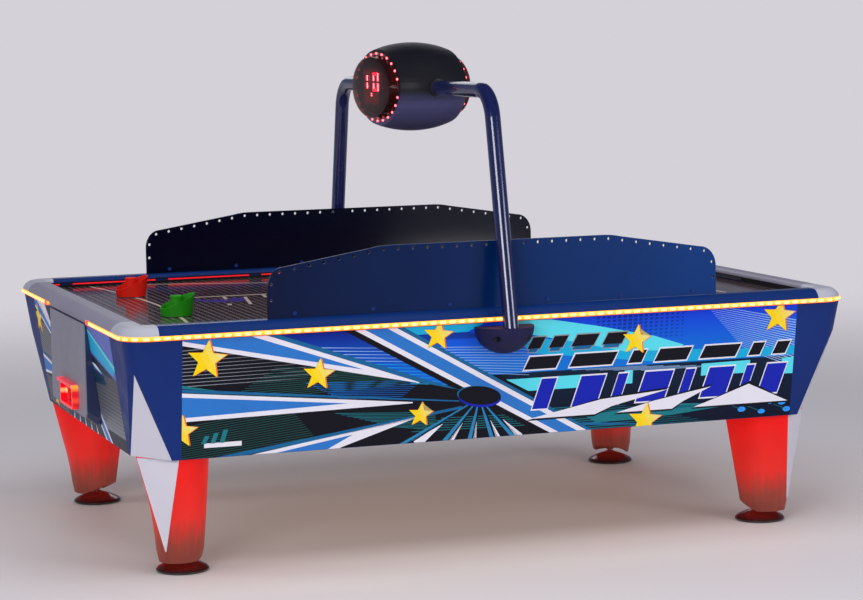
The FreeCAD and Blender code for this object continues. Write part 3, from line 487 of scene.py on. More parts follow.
    # low ray
    art.shape(EDGE, [(-0.13, 0.498), (-0.96, 0.385), (-0.86, 0.385), (-0.13, 0.489)])
    art.shape(WHITE, [(-0.27, 0.474), (-0.84, 0.385), (-0.54, 0.385), (-0.54, 0.388)])
    art.layer = 7
    art.shapes(
        (RAY, (left, 0.588), (-0.52, 0.533), (left, 0.521)),
        (RAY, (left, 0.767), (left, 0.772), (-0.845, 0.772), (-0.47, 0.641)),
        (RAY, (-0.472, 0.772), (-0.396, 0.772), (0.282, 0.385), (0.216, 0.385)),
        (RAY, (-0.5, 0.428), (-0.76, 0.385), (-0.585, 0.385)))
    for foot, white, wide in ((-0.335, -0.285, 0.034), (-0.19, -0.165, 0.016),
                              (-0.1, -0.082, 0.012), (-0.02, 0.002, 0.016), (0.055, 0.078, 0.022)):
        art.stroke(SPOKE, hub, (foot, 0.38), 0.004, 0.014)
        art.stroke(NIGHT, hub, (foot + 0.016, 0.38), 0.002, 0.01)
        middle = (hub[0] + (white - hub[0]) * 0.58, hub[1] - 0.135 * 0.58)
        art.stroke(WHITE, middle, (white, 0.38), 0.001, wide)

    art.layer = 8
    oval = []
    for angle in range(0, 360, 12):
        a = radians(angle)
        oval.append((hub[0] + 0.074 * cos(a), 0.529 + 0.031 * sin(a) - 0.008 * cos(a)))
    art.shape(EDGE, [(u - 0.005, v + 0.002) for u, v in oval])
    art.layer = 9
    art.shape(BLOCK, [(u + 0.001, v - 0.008) for u, v in oval])
    art.layer = 10
    art.shape(BLACK, oval)

    art.layer = 8
    for u0, u1 in ((0.085, 0.135), (0.16, 0.215), (0.24, 0.325), (0.35, 0.425)):
        bordered(art, slanted(u0, u1, 0.67, 0.716, 0.022), BLACK, GREY_LINE, 0.004)
        bordered(art, slanted(u0 + 0.004, u1 - 0.012, 0.66, 0.678, 0.008), EDGE, GREY_LINE, 0.003)
    for u0, u1 in ((0.075, 0.195), (0.235, 0.395), (0.445, 0.5), (0.54, 0.665), (0.705, 0.845),
                   (0.885, 0.935), (0.975, 1.03)):
        bordered(art, slanted(u0, u1, 0.6, 0.652, 0.022), BLACK, WHITE, 0.005)
    for u0, u1 in ((0.11, 0.17), (0.25, 0.345), (0.385, 0.425), (0.48, 0.59), (0.63, 0.67),
                   (0.715, 0.815), (0.855, 0.89), (0.93, 1.01)):
        bordered(art, slanted(u0, u1, 0.465, 0.576, 0.034), BLOCK, WHITE, 0.005)
    for blade in ([(0.11, 0.438), (0.36, 0.488), (0.6, 0.506), (0.4, 0.462), (0.34, 0.438)],
                  [(0.42, 0.438), (0.55, 0.47), (0.76, 0.506), (0.66, 0.462), (0.62, 0.438)],
                  [(0.7, 0.438), (0.79, 0.468), (0.9, 0.506), (1.05, 0.438)]):
        cu = sum(u for u, _ in blade) / len(blade)
        cv = sum(v for _, v in blade) / len(blade)
        art.layer = 14
        art.shape(BLACK, [(cu + (u - cu) * 1.06, cv + (v - cv) * 1.22) for u, v in blade])
        art.layer = 15
        art.shape(WHITE, blade)

    art.layer = 6
    for k in range(3):
        art.shape(TEAL_LINE, slanted(-1.0 + 0.03 * k, -0.985 + 0.03 * k, 0.432, 0.458 + 0.008 * k, 0.012))
    art.shape(WHITE, [(-0.99, 0.419), (-0.868, 0.419), (-0.868, 0.434), (-0.99, 0.434)])
    for u, v, size in ((0.88, 0.418, 0.01), (0.955, 0.406, 0.009), (1.03, 0.433, 0.01), (1.05, 0.408, 0.01),
                       (0.985, 0.436, 0.007)):
        dot = [(u + size * 1.5 * cos(radians(a)), v + size * 0.9 * sin(radians(a)))
               for a in range(0, 360, 30)]
        art.shape(GLOW_DOT, dot)
        art.stroke(TEAL_LINE, (u, v), (u - 0.05, v + 0.02), 0.0016)

    art.layer = 17
    for u, v, size in ((-0.985, 0.704, 0.06), (-0.62, 0.634, 0.049), (-0.222, 0.738, 0.047),
                       (-0.272, 0.479, 0.039), (-1.066, 0.478, 0.05), (0.475, 0.683, 0.048),
                       (0.522, 0.405, 0.056), (0.995, 0.735, 0.056)):
        star(art, u, v, size)
    art.done(name)


def end_art(name, sx):
    """Artwork of one end, either side of the console."""
    z0, place = on_panel("end_panel_right", 0, sx)
    edge, top, bottom = 0.638, 0.7705, z0 + 0.001
    art = Print(place, (-edge, bottom), (edge, top))
    art.shape(NIGHT, [(-edge, bottom), (edge, bottom), (edge, top), (-edge, top)])
    art.layer = 2
    art.shapes(
        (MIST, (0.24, 0.43), (edge, 0.43), (edge, 0.62), (0.24, 0.62)),
        (MAUVE, (0.24, 0.68), (edge, 0.62), (edge, 0.772), (0.24, 0.772)),
        (EDGE, (0.24, 0.575), (0.46, 0.585), (0.44, 0.625), (0.24, 0.652)),
        (MIST, (-edge, 0.575), (-0.3, 0.555), (-0.3, 0.66), (-edge, 0.7)))
    art.layer = 3
    art.hatch(GREY_LINE, 16, (-edge, 0.565), (0, 0.0085), (-0.34, 0.547), (0, 0.0085), 0.0026)
    art.hatch(GREY_LINE, 12, (-edge, 0.4), (0, 0.008), (-0.3, 0.39), (0, 0.008), 0.0024)
    for row in range(12):
        for col in range(26):
            u, v = 0.262 + 0.0148 * col, 0.445 + 0.0135 * row
            size = 0.0022 + 0.0022 * sin(pi * row / 11)
            art.shape(BLACK, [(u - size, v), (u, v - size), (u + size, v), (u, v + size)])
    art.layer = 4
    art.shapes(
        (CYAN, (0.24, 0.69), (0.6, 0.632), (edge, 0.655), (0.24, 0.757)),
        (TURQUOISE, (0.26, 0.748), (edge, 0.652), (edge, 0.668), (0.27, 0.758)),
        (WHITE, (0.26, 0.645), (0.34, 0.64), (0.42, 0.618), (0.33, 0.628)))
    art.layer = 5
    art.shapes(
        (WHITE, (0.185, 0.54), (0.3, 0.465), (0.415, 0.385), (0.31, 0.385), (0.185, 0.478)),
        (WHITE, (-0.36, 0.684), (-0.59, 0.772), (-0.44, 0.772)),
        (WHITE, (-0.37, 0.648), (-0.36, 0.69), (-0.6, 0.78), (-edge, 0.78), (-edge, 0.738)),
        (WHITE, (-0.3, 0.53), (-edge, 0.566), (-edge, 0.497), (-0.3, 0.515)),
        (EDGE, (-0.3, 0.545), (-edge, 0.582), (-edge, 0.574), (-0.3, 0.538)))
    art.layer = 6
    art.shapes(
        (RAY, (0.185, 0.524), (0.3, 0.447), (0.392, 0.385), (0.333, 0.385), (0.185, 0.495)),
        (RAY, (-0.38, 0.661), (-0.38, 0.681), (-0.585, 0.766), (-edge, 0.766), (-edge, 0.748)),
        (RAY, (-0.36, 0.527), (-edge, 0.555), (-edge, 0.508), (-0.36, 0.518)))
    art.layer = 7
    for k in range(5):
        art.stroke(EDGE, (-0.22 + 0.09 * k, 0.425), (-0.27 + 0.1 * k, 0.38), 0.002, 0.014)
        art.stroke(WHITE, (-0.19 + 0.09 * k, 0.414), (-0.215 + 0.1 * k, 0.38), 0.001, 0.018)
    star(art, -0.6, 0.7, 0.052)
    star(art, -0.5, 0.425, 0.036)
    art.done(name)


def field_marks():
    """Printed lines of the playing surface, with a ticked lane in each half and a ring at its middle."""
    low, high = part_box("playfield")
    top = high.z

    def place(u, v, lift):
        return (u, v, top + lift)

    margin = 0.001
    art = Print(place, (low.x + margin, low.y + margin), (high.x - margin, high.y - margin), FIELD_FILM_STEP)
    cream = ink("cream", (206, 190, 180), rough=0.12)
    violet = ink("violet", (74, 62, 150), rough=0.12)

    def band(ink_mat, radius, width, start, stop, step=3):
        """Part of a ring round the field's middle, in steps of so many degrees."""
        for angle in range(start, stop, step):
            first, last = radians(angle), radians(angle + step)
            art.shape(ink_mat, [(r * cos(a), r * sin(a))
                                for a, r in ((first, radius), (last, radius),
                                             (last, radius + width), (first, radius + width))])

    for sx in (-1, 1):
        for k in range(26):
            v0, v1 = -0.78 + 0.06 * k, -0.78 + 0.06 * (k + 1)
            u0, u1 = (sx * (0.926 + 0.13 * v * v) for v in (v0, v1))
            art.shape(cream, [(u0 - 0.006, v0), (u0 + 0.006, v0), (u1 + 0.006, v1), (u1 - 0.006, v1)])
    for sx in (-1, 1):
        for sy in (-1, 1):
            art.stroke(cream, (sx * 0.88, sy * 0.795), (sx * 0.3, sy * 0.565), 0.016)
    for sy in (-1, 1):
        art.stroke(cream, (-0.31, sy * 0.572), (0.31, sy * 0.572), 0.016)
    band(cream, 0.3, 0.012, 0, 360)
    band(cream, 0.215, 0.008, 0, 360)
    for sx in (-1, 1):
        def side(*points):
            return [(sx * u, -sx * v) for u, v in points]

        art.layer = 1
        art.stroke(cream, *side((0.76, 0.218), (0.31, 0.194)), 0.02)
        for k in range(5):
            shift = 0.072 * k
            if k % 2:
                art.stroke(cream, *side((0.655 - shift, 0.15), (0.7 - shift, -0.095)), 0.012)
            else:
                art.stroke(cream, *side((0.65 - shift, 0.19), (0.664 - shift, 0.1)), 0.012)
                art.stroke(cream, *side((0.692 - shift, -0.045), (0.702 - shift, -0.095)), 0.014)
                art.layer = 2
                art.shape(violet, side((0.646 - shift, 0.128), (0.594 - shift, 0.122),
                                       (0.62 - shift, 0.008), (0.676 - shift, 0.014)))
                art.layer = 1
        art.shape(violet, side((0.775, 0.15), (0.715, 0.105), (0.668, 0.1), (0.69, -0.01),
                               (0.735, 0.04), (0.778, 0.115)))
    art.layer = 2
    for k in range(12):
        band(violet, 0.232, 0.06, 30 * k + 4, 30 * k + 20, step=4)
    art.layer = 3
    art.stroke(cream, (0, low.y), (0, high.y), 0.014)
    art.done("field_markings")


# ---------- lights on the table
def rim_points(pitch):
    """(point, outward direction) along the light strip, at even steps, leaving out the consoles."""
    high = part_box("led_strips")[1]
    ax, ay = high.x - STRIP_R, high.y - STRIP_R
    found = []
    # A straight run up to each corner, then the corner itself. The runs at the ends lie along Y.
    for sx, sy, start, at_end in ((1, -1, -90, 0), (1, 1, 0, 1), (-1, 1, 90, 0), (-1, -1, 180, 1)):
        normal = Vector((sx * at_end, sy * (1 - at_end)))
        last = Vector((sx * (high.x if at_end else ax), sy * (ay if at_end else high.y)))
        first = Vector((last.x, -last.y)) if at_end else Vector((-last.x, last.y))
        count = max(1, round((last - first).length / pitch))
        found += [(first.lerp(last, (k + 0.5) / count), normal) for k in range(count)]
        count = max(1, round(STRIP_R * pi / 2 / pitch))
        for k in range(count):
            angle = radians(start + 90 * (k + 0.5) / count)
            turned = Vector((cos(angle), sin(angle)))
            found.append((Vector((sx * ax, sy * ay)) + turned * STRIP_R, turned))
    return [(p, n) for p, n in found if abs(p.y) > CONSOLE_CLEAR_Y or abs(p.x) < high.x - 0.01]


def rounded_block(bm, frame_matrix, size, cut):
    """Small block with its corners cut, placed by a matrix."""
    made = bmesh.ops.create_cube(bm, size=1.0)["verts"]
    bmesh.ops.scale(bm, vec=size, verts=made)
    edges = list({e for v in made for e in v.link_edges})
    result = bmesh.ops.bevel(bm, geom=edges, offset=min(size) * cut, segments=2, affect="EDGES",
                             profile=0.5)
    verts = set(result["verts"]) | {v for v in made if v.is_valid}
    bmesh.ops.transform(bm, matrix=frame_matrix, verts=list(verts))


def strip_lamps():
    """Lamp cells of the amber strip, and the red ends beside the consoles."""
    low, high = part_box("led_strips")
    z = (low.z + high.z) / 2
    amber = bmesh.new()
    for point, normal in rim_points(LAMP_PITCH):
        across = Vector((-normal.y, normal.x))
        matrix = Matrix(((across.x, normal.x, 0, point.x), (across.y, normal.y, 0, point.y),
                         (0, 0, 1, z), (0, 0, 0, 1)))
        rounded_block(amber, matrix, Vector(LAMP_SIZE), 0.45)
    core = lamp("lamp_amber_core", (1.0, 0.74, 0.3), (1.0, 0.66, 0.22), 1.25)
    piece("strip_lamps", mesh_from(amber, "strip_lamps"), [core], smooth=True)
    ends = bmesh.new()
    for sx in (-1, 1):
        for sy in (-1, 1):
            matrix = Matrix.Translation((sx * (high.x - 0.003), sy * STRIP_END_Y, z))
            rounded_block(ends, matrix, Vector(STRIP_END_SIZE), 0.3)
    red = lamp("lamp_red_end", (1.0, 0.1, 0.05), (0.9, 0.02, 0.01), 1.6)
    piece("strip_ends", mesh_from(ends, "strip_ends"), [red], smooth=True)


def scoreboard_lamps():
    """Round lamps about each lens, leaving a gap at either end of the oval."""
    bm = bmesh.new()
    low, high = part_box("scoreboard_light_rings")
    centre_z = (low.z + high.z) / 2
    half_y, half_z = (high.y - low.y) / 2 - 0.004, (high.z - low.z) / 2 - 0.004
    for sx in (-1, 1):
        for half in (0, 1):
            for k in range(RING_LAMPS):
                angle = pi * (half + 0.085 + 0.83 * k / (RING_LAMPS - 1))
                at = (sx * (high.x + 0.001), half_y * cos(angle), centre_z + half_z * sin(angle))
                matrix = Matrix.Translation(at) @ Matrix.Diagonal((0.9, 1.0, 1.0, 1.0))
                bmesh.ops.create_icosphere(bm, subdivisions=2, radius=RING_LAMP_R, matrix=matrix)
    dots = bulb("lamp_score_dot", 2.4)
    piece("scoreboard_lamps", mesh_from(bm, "scoreboard_lamps"), [dots], smooth=True)
    show("scoreboard_light_rings", finish("lamp_channel", (20, 12, 14), 0.25, coat=0.5))
    show("score_digits", bulb("lamp_digit", 26.0))
    show("display_boards", display_board(centre_z))


def show(node, mat):
    """Give one carried-over node a look of its own."""
    materials = NODES[node].data.materials
    materials.clear()
    materials.append(mat)


def bulb(name, strength):
    """Red lamp with a pale middle."""
    s = Shader(name, srgb(255, 20, 40), 0.3)
    facing = s.add("ShaderNodeLayerWeight", {"Blend": 0.45}).outputs["Facing"]
    soft = s.math("ADD", facing, s.times(s.noise(200.0), 0.1))
    s.glow(s.mix(s.span(soft, 0.15, 0.62), (1.0, 0.26, 0.34), (1.0, 0.01, 0.03)), strength)
    return s.mat


def display_board(centre_z):
    """Dark board with a faint glow round its digits."""
    s = Shader("display_board", None, 0.5)
    s.put("Base Color", s.mix(s.noise(60.0, 3.0), srgb(14, 10, 12), srgb(26, 18, 20)))
    across = s.math("ABSOLUTE", s.math("SUBTRACT", s.math("ABSOLUTE", s.axis("Y")), 0.105))
    up = s.math("ABSOLUTE", s.math("SUBTRACT", s.axis("Z"), centre_z))
    side = s.math("LESS_THAN", s.times(s.axis("X"), s.axis("Y")), 0.0)
    block = s.times(s.span(across, 0.095, 0.07), s.span(up, 0.07, 0.05))
    s.glow(s.mix(s.times(side, block), (0.016, 0.003, 0.002), (0.3, 0.018, 0.012)), 1.0)
    return s.mat


def pocket_liners():
    """Thin lit sleeves just inside the return pockets, open below."""
    bm = bmesh.new()
    for sx in (-1, 1):
        for (y0, y1), (z0, z1) in (((-0.02, -0.0185), (0.4785, 0.532)),
                                   ((0.1485, 0.15), (0.4785, 0.532)),
                                   ((-0.0185, 0.1485), (0.5305, 0.532))):
            centre = Vector((sx * POCKET_X, sx * (y0 + y1) / 2, (z0 + z1) / 2))
            rounded_block(bm, Matrix.Translation(centre), Vector((POCKET_DEPTH, y1 - y0, z1 - z0)), 0.2)
    s = Shader("pocket_liner", srgb(190, 14, 14), 0.35)
    s.glow(s.mix(s.noise(30.0, 3.0), (0.35, 0.0, 0.003), (0.8, 0.02, 0.01)), 0.9)
    piece("pocket_liners", mesh_from(bm, "pocket_liners"), [s.mat])


# ---------- guards
def guard_profile():
    """Half outline of a guard, from its foot up to the middle of its top."""
    low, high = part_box("guard_front")
    edge = high.x
    points = [(edge, low.z)]
    for angle in range(0, 91, 10):
        a = radians(angle)
        points.append((edge - 0.056 + 0.056 * cos(a), 0.913 + 0.067 * sin(a)))
    points += [(0.434, 1.026), (0.419, 1.0292), (0.404, 1.0312), (0.389, 1.0325), (0.369, 1.033)]
    return points


def guards():
    """The two guards as thin sheets with a row of small holes along their edge."""
    half = guard_profile()
    outline = half + [(-x, z) for x, z in reversed(half)]
    dense = []
    for (x0, z0), (x1, z1) in zip(half, half[1:] + [(0.0, half[-1][1])]):
        steps = max(1, int(hypot(x1 - x0, z1 - z0) / 0.002))
        for k in range(steps):
            share = k / steps
            nx, nz = -(z1 - z0), (x1 - x0)
            length = hypot(nx, nz)
            dense.append((x0 + (x1 - x0) * share + nx / length * GUARD_HOLE_INSET,
                          z0 + (z1 - z0) * share + nz / length * GUARD_HOLE_INSET))
    holes, travelled, due = [], 0.0, GUARD_HOLE_START
    for (x0, z0), (x1, z1) in zip(dense, dense[1:]):
        travelled += hypot(x1 - x0, z1 - z0)
        if travelled >= due and x1 > 0.01:
            holes.append((x1, z1))
            due += GUARD_HOLE_PITCH
    holes += [(-x, z) for x, z in holes]
    for side in ("front", "rear"):
        low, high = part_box("guard_" + side)
        curve = bpy.data.curves.new("guard_curve_" + side, "CURVE")
        curve.dimensions = "2D"
        curve.fill_mode = "BOTH"
        curve.extrude = (high.y - low.y) / 2 - GUARD_EDGE_R
        curve.bevel_depth = GUARD_EDGE_R
        curve.bevel_resolution = 2
        curve.offset = -GUARD_EDGE_R
        loops = [outline]
        for x, z in holes:
            turns = [a * pi / 6 for a in range(12)]
            loops.append([(x + GUARD_HOLE_R * cos(t), z + GUARD_HOLE_R * sin(t)) for t in turns])
        for loop in loops:
            spline = curve.splines.new("POLY")
            spline.points.add(len(loop) - 1)
            for point, (x, z) in zip(spline.points, loop):
                point.co = (x, z, 0, 1)
            spline.use_cyclic_u = True
        temp = new_object("guard_temp", curve)
        bpy.context.view_layer.update()
        graph = bpy.context.evaluated_depsgraph_get()
        mesh = bpy.data.meshes.new_from_object(temp.evaluated_get(graph))
        bpy.data.objects.remove(temp)
        mesh.transform(Matrix(((1, 0, 0, 0), (0, 0, -1, (low.y + high.y) / 2), (0, 1, 0, 0), (0, 0, 0, 1))))
        mesh.materials.clear()
        obj = piece("guard_plate_" + side, mesh, [MATERIALS["guard_navy"]])
        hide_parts("guard_" + side)


# ---------- carried-over pieces
MATERIALS = {}


def build_materials():
    """Make a material for each slot of the record and put it on the slot's nodes."""
    m = MATERIALS
    m["navy_panel"] = finish("navy_laminate", (4, 39, 109), 0.42, specular=0.22)
    m["white_laminate"] = finish("white_laminate", (206, 205, 218), 0.38, vary=0.03)
    m["navy_tube"] = finish("navy_tube", (16, 24, 72), 0.2, coat=0.9, coat_rough=0.06, vary=0.1)
    m["bracket_plastic"] = finish("bracket_moulding", (26, 26, 66), 0.55, grain=500, relief=0.12,
                                  vary=0.05, specular=0.2)
    m["bolt_steel"] = finish("black_steel", (36, 36, 42), 0.35, metal=0.8)
    m["foot_black"] = foot_paint()
    m["rail_navy"] = rail_finish("rail_navy", (12, 42, 101), 0.26, 0.45)
    m["rail_grey"] = rail_finish("rail_grey", (132, 130, 148), 0.42, 0.1)
    m["cap_grey"] = rail_finish("cap_grey", (166, 168, 182), 0.36, 0.12)
    m["tray_board"] = board("tray_board", (150, 128, 100))
    m["cabinet_board"] = board("bottom_board", (34, 34, 40))
    m["machine_steel"] = finish("galvanised", (168, 170, 176), 0.42, metal=0.9, grain=60, relief=0.2)
    m["black_plastic"] = finish("black_moulding", (26, 26, 30), 0.5, grain=700, relief=0.25)
    m["console_navy"] = finish("console_navy", (26, 38, 78), 0.3, coat=0.3)
    m["console_grey"] = finish("console_grey", (128, 127, 142), 0.46, grain=500, relief=0.12, vary=0.04)
    m["guard_navy"] = guard_sheet()
    m["mallet_red"] = finish("mallet_red", (196, 22, 6), 0.55, specular=0.2)
    m["mallet_green"] = finish("mallet_green", (30, 128, 16), 0.55, specular=0.2)
    m["puck_red"] = finish("puck_red", (200, 30, 24), 0.25)
    m["felt"] = felt()
    m["leg_red"] = leg_paint()
    m["field"] = field_surface()
    m["shell_black"] = ribbed_shell()
    m["lens_smoke"] = smoked()
    m["led_amber"] = strip_cover()
    m["led_red"] = lamp("strip_red", (0.8, 0.02, 0.03), (0.55, 0.0, 0.01), 0.9)
    m["ring_red"] = ring_plastic()
    for row in frame["record"]["subparts"]:
        obj = NODES[row["node"]]
        obj.data.materials.clear()
        obj.data.materials.append(m[row["material_slot"]])
    show("guard_screws", m["navy_panel"])


def board(name, color):
    """Plain board: long fibres and pores."""
    color = srgb(*color)
    s = Shader(name, None, 0.6)
    fibre = s.noise(40.0, 6.0, stretch=(0.6, 6.0, 6.0))
    s.put("Base Color", s.mix(fibre, shade(color, 0.7), shade(color, 1.15)))
    s.bump(fibre, 0.2)
    return s.mat


def felt():
    s = Shader("felt", None, 0.95, specular=0.2)
    s.put("Base Color", s.mix(s.noise(900.0, 4.0), srgb(60, 60, 64), srgb(96, 96, 100)))
    s.bump(s.noise(1200.0, 3.0), 0.6)
    return s.mat


def leg_paint():
    """Translucent red moulding lit from inside, dim and streaky towards the floor, where its colour darkens
    as painted shade and a painted reflection of the floor.
    """
    s = Shader("leg_red", None, 0.38, specular=0.22)
    height = s.axis("Z")
    streak = s.noise(26.0, 2.0, stretch=(3.0, 3.0, 0.16))
    level = s.math("ADD", height, s.times(s.math("SUBTRACT", streak, 0.5), 0.07))
    place = s.span(level, 0.02, 0.4)
    # Base colour darkens in streaks towards the floor: painted shade and a painted reflection of the floor.
    s.put("Base Color", s.ramp(place, [(0.0, srgb(92, 50, 42)), (0.2, srgb(120, 50, 40)),
                                       (0.42, srgb(190, 40, 32)), (1.0, srgb(190, 8, 6))]))
    patch = s.span(s.noise(5.0, 2.0), 0.3, 0.7, 0.75, 1.25)
    lit = s.ramp(place, [(0.0, (0.06, 0.012, 0.008)), (0.22, (0.1, 0.014, 0.01)),
                         (0.45, (0.27, 0.004, 0.004)), (0.8, (0.34, 0.001, 0.001))])
    tint = s.add("ShaderNodeVectorMath", {0: lit, "Scale": patch}, operation="SCALE").outputs[0]
    s.glow(tint, 1.0)
    s.bump(s.noise(240.0, 2.0), 0.05, 0.0006)
    return s.mat


def foot_paint():
    """Glossy dark moulding with painted red light from the leg above: redder towards its crown, where it has
    a faint painted glow.
    """
    s = Shader("foot_black", None, 0.18, coat=0.4, coat_rough=0.1)
    # Painted red light from the leg, rising towards the crown, in base colour and glow.
    red_glow_rise = s.span(s.axis("Z"), 0.006, 0.036)
    blotch = s.span(s.noise(18.0, 3.0), 0.35, 0.65, 0.5, 1.0)
    s.put("Base Color", s.mix(s.times(red_glow_rise, blotch), srgb(26, 14, 14), srgb(120, 20, 16)))
    s.glow(s.mix(red_glow_rise, (0.0, 0.0, 0.0), (0.05, 0.002, 0.001)), 1.0)
    return s.mat


def rail_finish(name, color, rough, coat):
    """Satin rail whose inner face, over the field, is near black."""
    color = srgb(*color)
    s = Shader(name, None, rough, coat=coat, coat_rough=0.16, specular=0.35)
    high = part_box("playfield")[1]
    inside_x = s.math("LESS_THAN", s.math("ABSOLUTE", s.axis("X")), high.x + 0.0015)
    inside_y = s.math("LESS_THAN", s.math("ABSOLUTE", s.axis("Y")), high.y + 0.0015)
    under = s.math("LESS_THAN", s.axis("Z"), DARK_FACE_TOP)
    # Near black on the inner face over the field, up to a set height.
    dark_inner_face = s.times(s.times(inside_x, inside_y), under)
    drift = s.mix(s.noise(3.5, 4.0), shade(color, 0.9), shade(color, 1.1))
    s.put("Base Color", s.mix(dark_inner_face, drift, srgb(14, 12, 14)))
    s.bump(s.noise(220.0, 2.0), 0.06, 0.0006)
    return s.mat


def guard_sheet():
    """Glossy navy sheet, a dark mirror; its colour holds painted light: a painted sheen that brightens the
    front sheet towards +X, and painted shade that keeps the rear sheet deep.
    """
    s = Shader("guard_navy", None, 0.14, specular=0.3)
    # Painted sheen: the front sheet brightens along X, in broad patches.
    wide = s.noise(1.1, 2.0)
    run = s.span(s.axis("X"), -0.8, 0.8)
    rear = s.span(s.axis("Y"), -0.2, 0.2)
    share = s.times(run, s.span(wide, 0.3, 0.7, 0.7, 1.2))
    front_sheen = s.mix(share, srgb(3, 14, 48), srgb(4, 50, 113))
    # Painted shade: the rear sheet is darker than the front one.
    s.put("Base Color", s.mix(rear, front_sheen, srgb(3, 5, 24)))
    s.bump(s.noise(2.0, 1.0), 0.04, 0.02)
    return s.mat


def strip_cover():
    """Amber cover of the light strip: orange between lamps and red along its lower edge."""
    s = Shader("led_amber", srgb(255, 140, 30), 0.3)
    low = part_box("led_strips")[0]
    up = s.span(s.axis("Z"), low.z + 0.001, low.z + 0.008)
    cloudy = s.math("ADD", up, s.times(s.noise(80.0), 0.06))
    s.glow(s.mix(cloudy, (0.85, 0.06, 0.01), (1.0, 0.46, 0.05)), 1.15)
    return s.mat


def field_surface():
    """Polished black-brown laminate with rows of small air holes, painted near black as the shade inside
    them, in pale rims that are painted highlights.
    """
    s = Shader("field", None, 0.14, specular=0.42)
    x = s.math("FRACT", s.times(s.axis("X"), 1 / AIR_HOLE_PITCH))
    y = s.math("FRACT", s.times(s.axis("Y"), 1 / AIR_HOLE_PITCH))
    distance = s.distance((x, 0.5), (y, 0.5))
    # Painted shade: each hole is near black.
    shaded_hole = s.span(distance, 0.11, 0.07)
    # Painted highlight: a pale rim round each hole.
    glint_rim = s.times(s.span(distance, 0.07, 0.11), s.span(distance, 0.21, 0.16))
    base = s.mix(s.noise(5.0, 4.0), srgb(44, 30, 33), srgb(56, 40, 42))
    base = s.mix(glint_rim, base, srgb(180, 166, 170))
    s.put("Base Color", s.mix(shaded_hole, base, srgb(12, 9, 10)))
    s.bump(s.math("SUBTRACT", 1.0, shaded_hole), 0.5, 0.001)
    return s.mat


def ribbed_shell():
    """Near-black moulding, lilac below as a painted reflection of the table and floor, with shallow ribs
    along the barrel.
    """
    s = Shader("shell_black", None, 0.45, specular=0.22)
    # Painted reflection: the lower half is lilac, as the table and floor below show in it.
    below = s.span(s.axis("Z"), 1.505, 1.455)
    above = s.mix(s.noise(5.0, 3.0), srgb(14, 15, 20), srgb(24, 25, 32))
    s.put("Base Color", s.mix(below, above, srgb(84, 84, 128)))
    rib = s.math("SINE", s.times(s.axis("Z"), 2 * pi / RIB_PITCH))
    s.bump(s.times(rib, 0.5), 0.22, 0.0012)
    return s.mat


def smoked():
    """Smoked clear plastic that lets the lit digits through."""
    s = Shader("lens_smoke", srgb(30, 20, 22), 0.05)
    out = s.tree.nodes["Material Output"]
    clear = s.add("ShaderNodeBsdfTransparent", {"Color": (0.86, 0.62, 0.6, 1)})
    facing = s.add("ShaderNodeLayerWeight", {"Blend": 0.35}).outputs["Facing"]
    haze = s.math("ADD", s.span(facing, 0.0, 1.0, 0.1, 0.7), s.times(s.noise(30.0), 0.04))
    blend = s.add("ShaderNodeMixShader", {0: haze, 1: clear.outputs[0], 2: s.bsdf.outputs[0]})
    s.put("Surface", blend.outputs[0], out)
    return s.mat


def ring_plastic():
    """Translucent red plastic lit from inside, yellow over its lamps."""
    s = Shader("ring_red", srgb(180, 6, 16), 0.2, coat=0.3)
    patch = s.span(s.noise(22.0, 3.0), 0.35, 0.65)
    base = s.mix(patch, (0.34, 0.0, 0.006), (0.8, 0.002, 0.012))
    side = s.math("SIGN", s.axis("X"))
    away = s.times(s.axis("Y"), side)
    for y, z, reach, color in ((0.16, 0.543, 0.017, (1.0, 0.45, 0.05)),
                               (-0.022, 0.512, 0.012, (1.0, 0.7, 0.3)),
                               (0.162, 0.5, 0.014, (1.0, 0.1, 0.02))):
        near = s.span(s.distance((away, y), (s.axis("Z"), z)), reach, reach * 0.2)
        base = s.mix(near, base, color)
    s.glow(base, 1.0)
    return s.mat


# ---------- stage, light and camera
def stage():
    """Pale plain floor, tinted warm under the table as painted warm shade, that thins out into the backdrop.
    """
    bm = bmesh.new()
    bmesh.ops.create_circle(bm, cap_ends=True, radius=FLOOR_R, segments=96)
    mesh = bpy.data.meshes.new("floor")
    bm.to_mesh(mesh)
    bm.free()
    floor = new_object("floor", mesh)
    s = Shader("floor", None, 0.55, specular=0.25)
    flat = s.add("ShaderNodeVectorMath", {0: s.point, 1: (1, 1, 0)}, operation="MULTIPLY")
    far = s.add("ShaderNodeVectorMath", {0: flat.outputs[0]}, operation="LENGTH").outputs["Value"]
    # Warmer near the middle: painted warm shade under the table, from the red light of the legs.
    s.put("Base Color", s.mix(s.span(far, 0.3, 2.4), (0.655, 0.58, 0.555), (0.64, 0.625, 0.675)))
    s.bump(s.noise(30.0, 4.0), 0.02)
    clear = s.add("ShaderNodeBsdfTransparent")
    fade = s.add("ShaderNodeMapRange", {"Value": far, "From Min": FADE_START, "From Max": FADE_END},
                 interpolation_type="SMOOTHSTEP")
    blend = s.add("ShaderNodeMixShader", {0: fade.outputs[0], 1: s.bsdf.outputs[0], 2: clear.outputs[0]})
    s.put("Surface", blend.outputs[0], s.tree.nodes["Material Output"])
    mesh.materials.append(s.mat)


